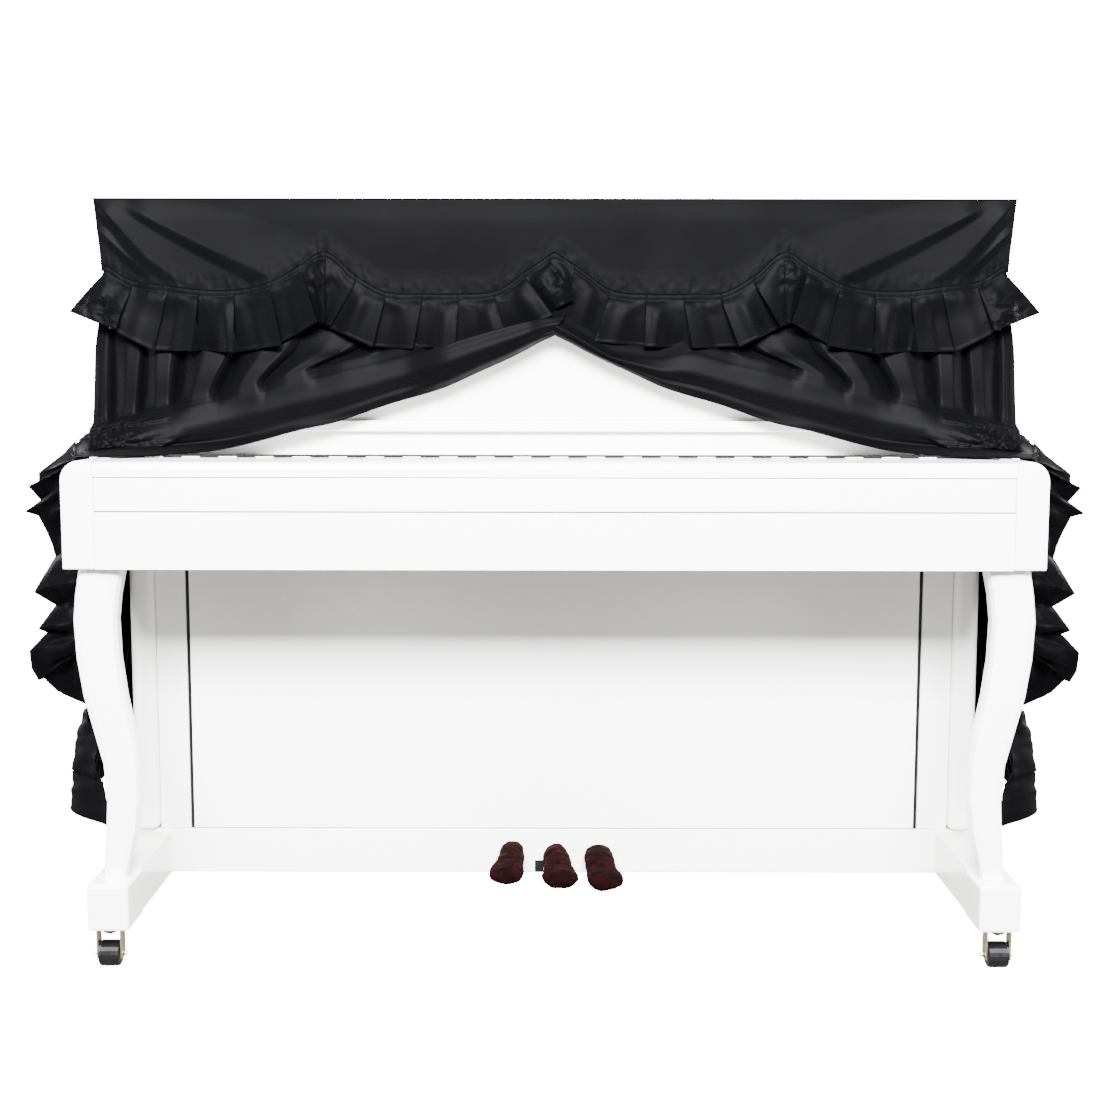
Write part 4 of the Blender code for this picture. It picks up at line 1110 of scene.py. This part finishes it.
def block(bm, x, depth, z, chamfer=0.0003):
    """A block between two values on each axis, its front and back outlines chamfered."""
    rings = []
    for at, inset in ((depth[1], chamfer), (depth[1] - chamfer, 0), (depth[0] + chamfer, 0),
                      (depth[0], chamfer)):
        low_x, high_x, low_z, high_z = x[0] + inset, x[1] - inset, z[0] + inset, z[1] - inset
        rings.append([bm.verts.new((px, y(at), pz)) for px, pz in
                      ((low_x, low_z), (high_x, low_z), (high_x, high_z), (low_x, high_z))])
    skin(bm, rings)


def finish_hardware(name, bm, slot):
    bmesh.ops.recalc_face_normals(bm, faces=bm.faces)
    mesh = bpy.data.meshes.new(name)
    bm.to_mesh(mesh)
    bm.free()
    mesh.shade_smooth()
    mesh.set_sharp_from_angle(angle=METAL_SHARP)
    add_piece(name, mesh, MATERIALS[slot])


def make_hinge():
    """The fallboard's long hinge: every other knuckle shows before a black strip, which is painted
    shade of the gaps between the knuckles.
    """
    bm = bmesh.new()
    # Painted shade: a black strip behind the knuckles
    block(bm, (-HINGE_HALF, HINGE_HALF), HINGE_SHADE_DEPTH, HINGE_SHADE_Z, THIN_CHAMFER)
    finish_hardware("hinge_shade_strip", bm, "black_rubber")
    bm = bmesh.new()
    at = (y(KNUCKLE_DEPTH), KNUCKLE_Z)
    for i in range(int(HINGE_HALF / KNUCKLE)):
        start = -HINGE_HALF + KNUCKLE * (2 * i + 0.55)
        barrel(bm, (start, *at), (start + KNUCKLE * 0.96, *at), KNUCKLE_RADIUS)
    finish_hardware("hinge_knuckles", bm, "white_gloss")


def make_shade_strips():
    """Black strips beside the lower panel, and over the key slip and both rails: painted shade of
    the gaps there.
    """
    bm = bmesh.new()
    for side in (-1, 1):
        x = sorted((side * PANEL_SHADE_X[0], side * PANEL_SHADE_X[1]))
        # Painted shade: a black strip fills each gap beside the lower panel
        block(bm, x, PANEL_SHADE_DEPTH,
              (RAIL_TOP + PANEL_SHADE_SHORT, KEYBED_BOTTOM - PANEL_SHADE_SHORT))
    finish_hardware("panel_shade_strip", bm, "black_rubber")
    bm = bmesh.new()
    for half, depth, floor, high in RAIL_SHADE_STRIPS:
        # Painted shade: thin black lines along the rails' joints
        block(bm, (-half, half), depth, (floor + GAP, floor + high), THIN_CHAMFER)
    finish_hardware("rail_shade_strip", bm, "black_rubber")


def make_castor_details():
    """Swivel cups under the front castors' plates, and the heads of their axle bolts."""
    bm = bmesh.new()
    at = y(CASTOR_DEPTH)
    for side in (-1, 1):
        x = side * CASTOR_X
        barrel(bm, (x, at, CUP_Z[0]), (x, at, CUP_Z[1]), CUP_RADIUS, 32)
        barrel(bm, (x, at, NUT_BOTTOM), (x, at, CUP_Z[0]), NUT_RADIUS, 6)
        for way in (-1, 1):
            washer = (x + way * WASHER_FROM_MIDDLE, at, WHEEL_RADIUS)
            head = (washer[0] + way * WASHER_THICK, at, WHEEL_RADIUS)
            end = (head[0] + way * BOLT_HEAD[0], at, WHEEL_RADIUS)
            barrel(bm, washer, head, WASHER_RADIUS, 24)
            barrel(bm, head, end, BOLT_HEAD[1], 6)
    finish_hardware("castor_bolts", bm, "brass")


# Floor and light


def add_light(name, at, target, wide, tall, power):
    data = bpy.data.lights.new(name, "AREA")
    data.shape = "RECTANGLE"
    data.size, data.size_y, data.energy = wide, tall, power
    light = put(name, data)
    light.location = at
    light.rotation_euler = (Vector(target) - Vector(at)).to_track_quat("-Z", "Y").to_euler()


def make_studio():
    """Lamps, a faint light from all round, and a floor. The camera sees the floor and what
    lies beyond it as evenly pale."""
    world = bpy.data.worlds.new("studio")
    bpy.context.scene.world = world
    world.use_nodes = True
    background = world.node_tree.nodes["Background"]
    background.inputs["Color"].default_value = (1, 1, 1, 1)
    nodes, links = world.node_tree.nodes, world.node_tree.links
    strength = nodes.new("ShaderNodeMapRange")
    strength.inputs["To Min"].default_value = WORLD
    strength.inputs["To Max"].default_value = BACKDROP_GLOW
    links.new(nodes.new("ShaderNodeLightPath").outputs["Is Camera Ray"], strength.inputs["Value"])
    links.new(strength.outputs["Result"], background.inputs["Strength"])
    for lamp in LIGHTS:
        add_light(*lamp)
    mesh = bpy.data.meshes.new("floor")
    # A floor that curves up into a backdrop
    profile = [(FLOOR_FRONT, 0.0), (BACKDROP_FOOT, 0.0)]
    profile += [(BACKDROP_FOOT + BACKDROP_RADIUS * math.sin(a),
                 BACKDROP_RADIUS - BACKDROP_RADIUS * math.cos(a))
                for a in steps(0, math.pi / 2, 12)[1:]]
    profile.append((BACKDROP_FOOT + BACKDROP_RADIUS, BACKDROP_TOP))
    points = [(x, along_y, z) for along_y, z in profile for x in (-FLOOR_HALF, FLOOR_HALF)]
    faces = [(2 * i, 2 * i + 1, 2 * i + 3, 2 * i + 2) for i in range(len(profile) - 1)]
    mesh.from_pydata(points, [], faces)
    mesh.shade_smooth()
    shader = Shader("floor", Base_Color=(*FLOOR, 1), Roughness=0.85,
                    Emission_Color=(1, 1, 1, 1))
    seen = shader.add("LightPath").outputs["Is Camera Ray"]
    shader.join(shader.spread(seen, 0, BACKDROP_GLOW, 0, 1), "Emission Strength")
    mesh.materials.append(shader.material)
    put("floor", mesh)


set_camera()
SATIN = make_satin("satin", SATIN_SPECULAR)
# A dimmer copy of the satin for the front frill: painted shade
SATIN_SHADED = make_satin("satin_shaded", SATIN_SHADED_SPECULAR)
VELVET = make_velvet()
MATERIALS = {"satin": SATIN, "velvet": VELVET, "white_gloss": make_lacquer(),
             "brass": make_brass(), "black_rubber": make_rubber()}
for subpart in frame["record"]["subparts"]:
    node = frame["nodes"][subpart["node"]]
    node.data.materials.clear()
    node.data.materials.append(MATERIALS[subpart["material_slot"]])

make_top()
make_yoke()
make_front_frill()
for make in (make_curtain, make_tail, make_tail_frill, make_side_panel, make_side_frill,
             make_hem_frill):
    for word, side in SIDES:
        make(word, side)
make_back()
for sleeve in SLEEVES:
    make_sleeve(*sleeve)
make_hinge()
make_shade_strips()
make_castor_details()
make_studio()
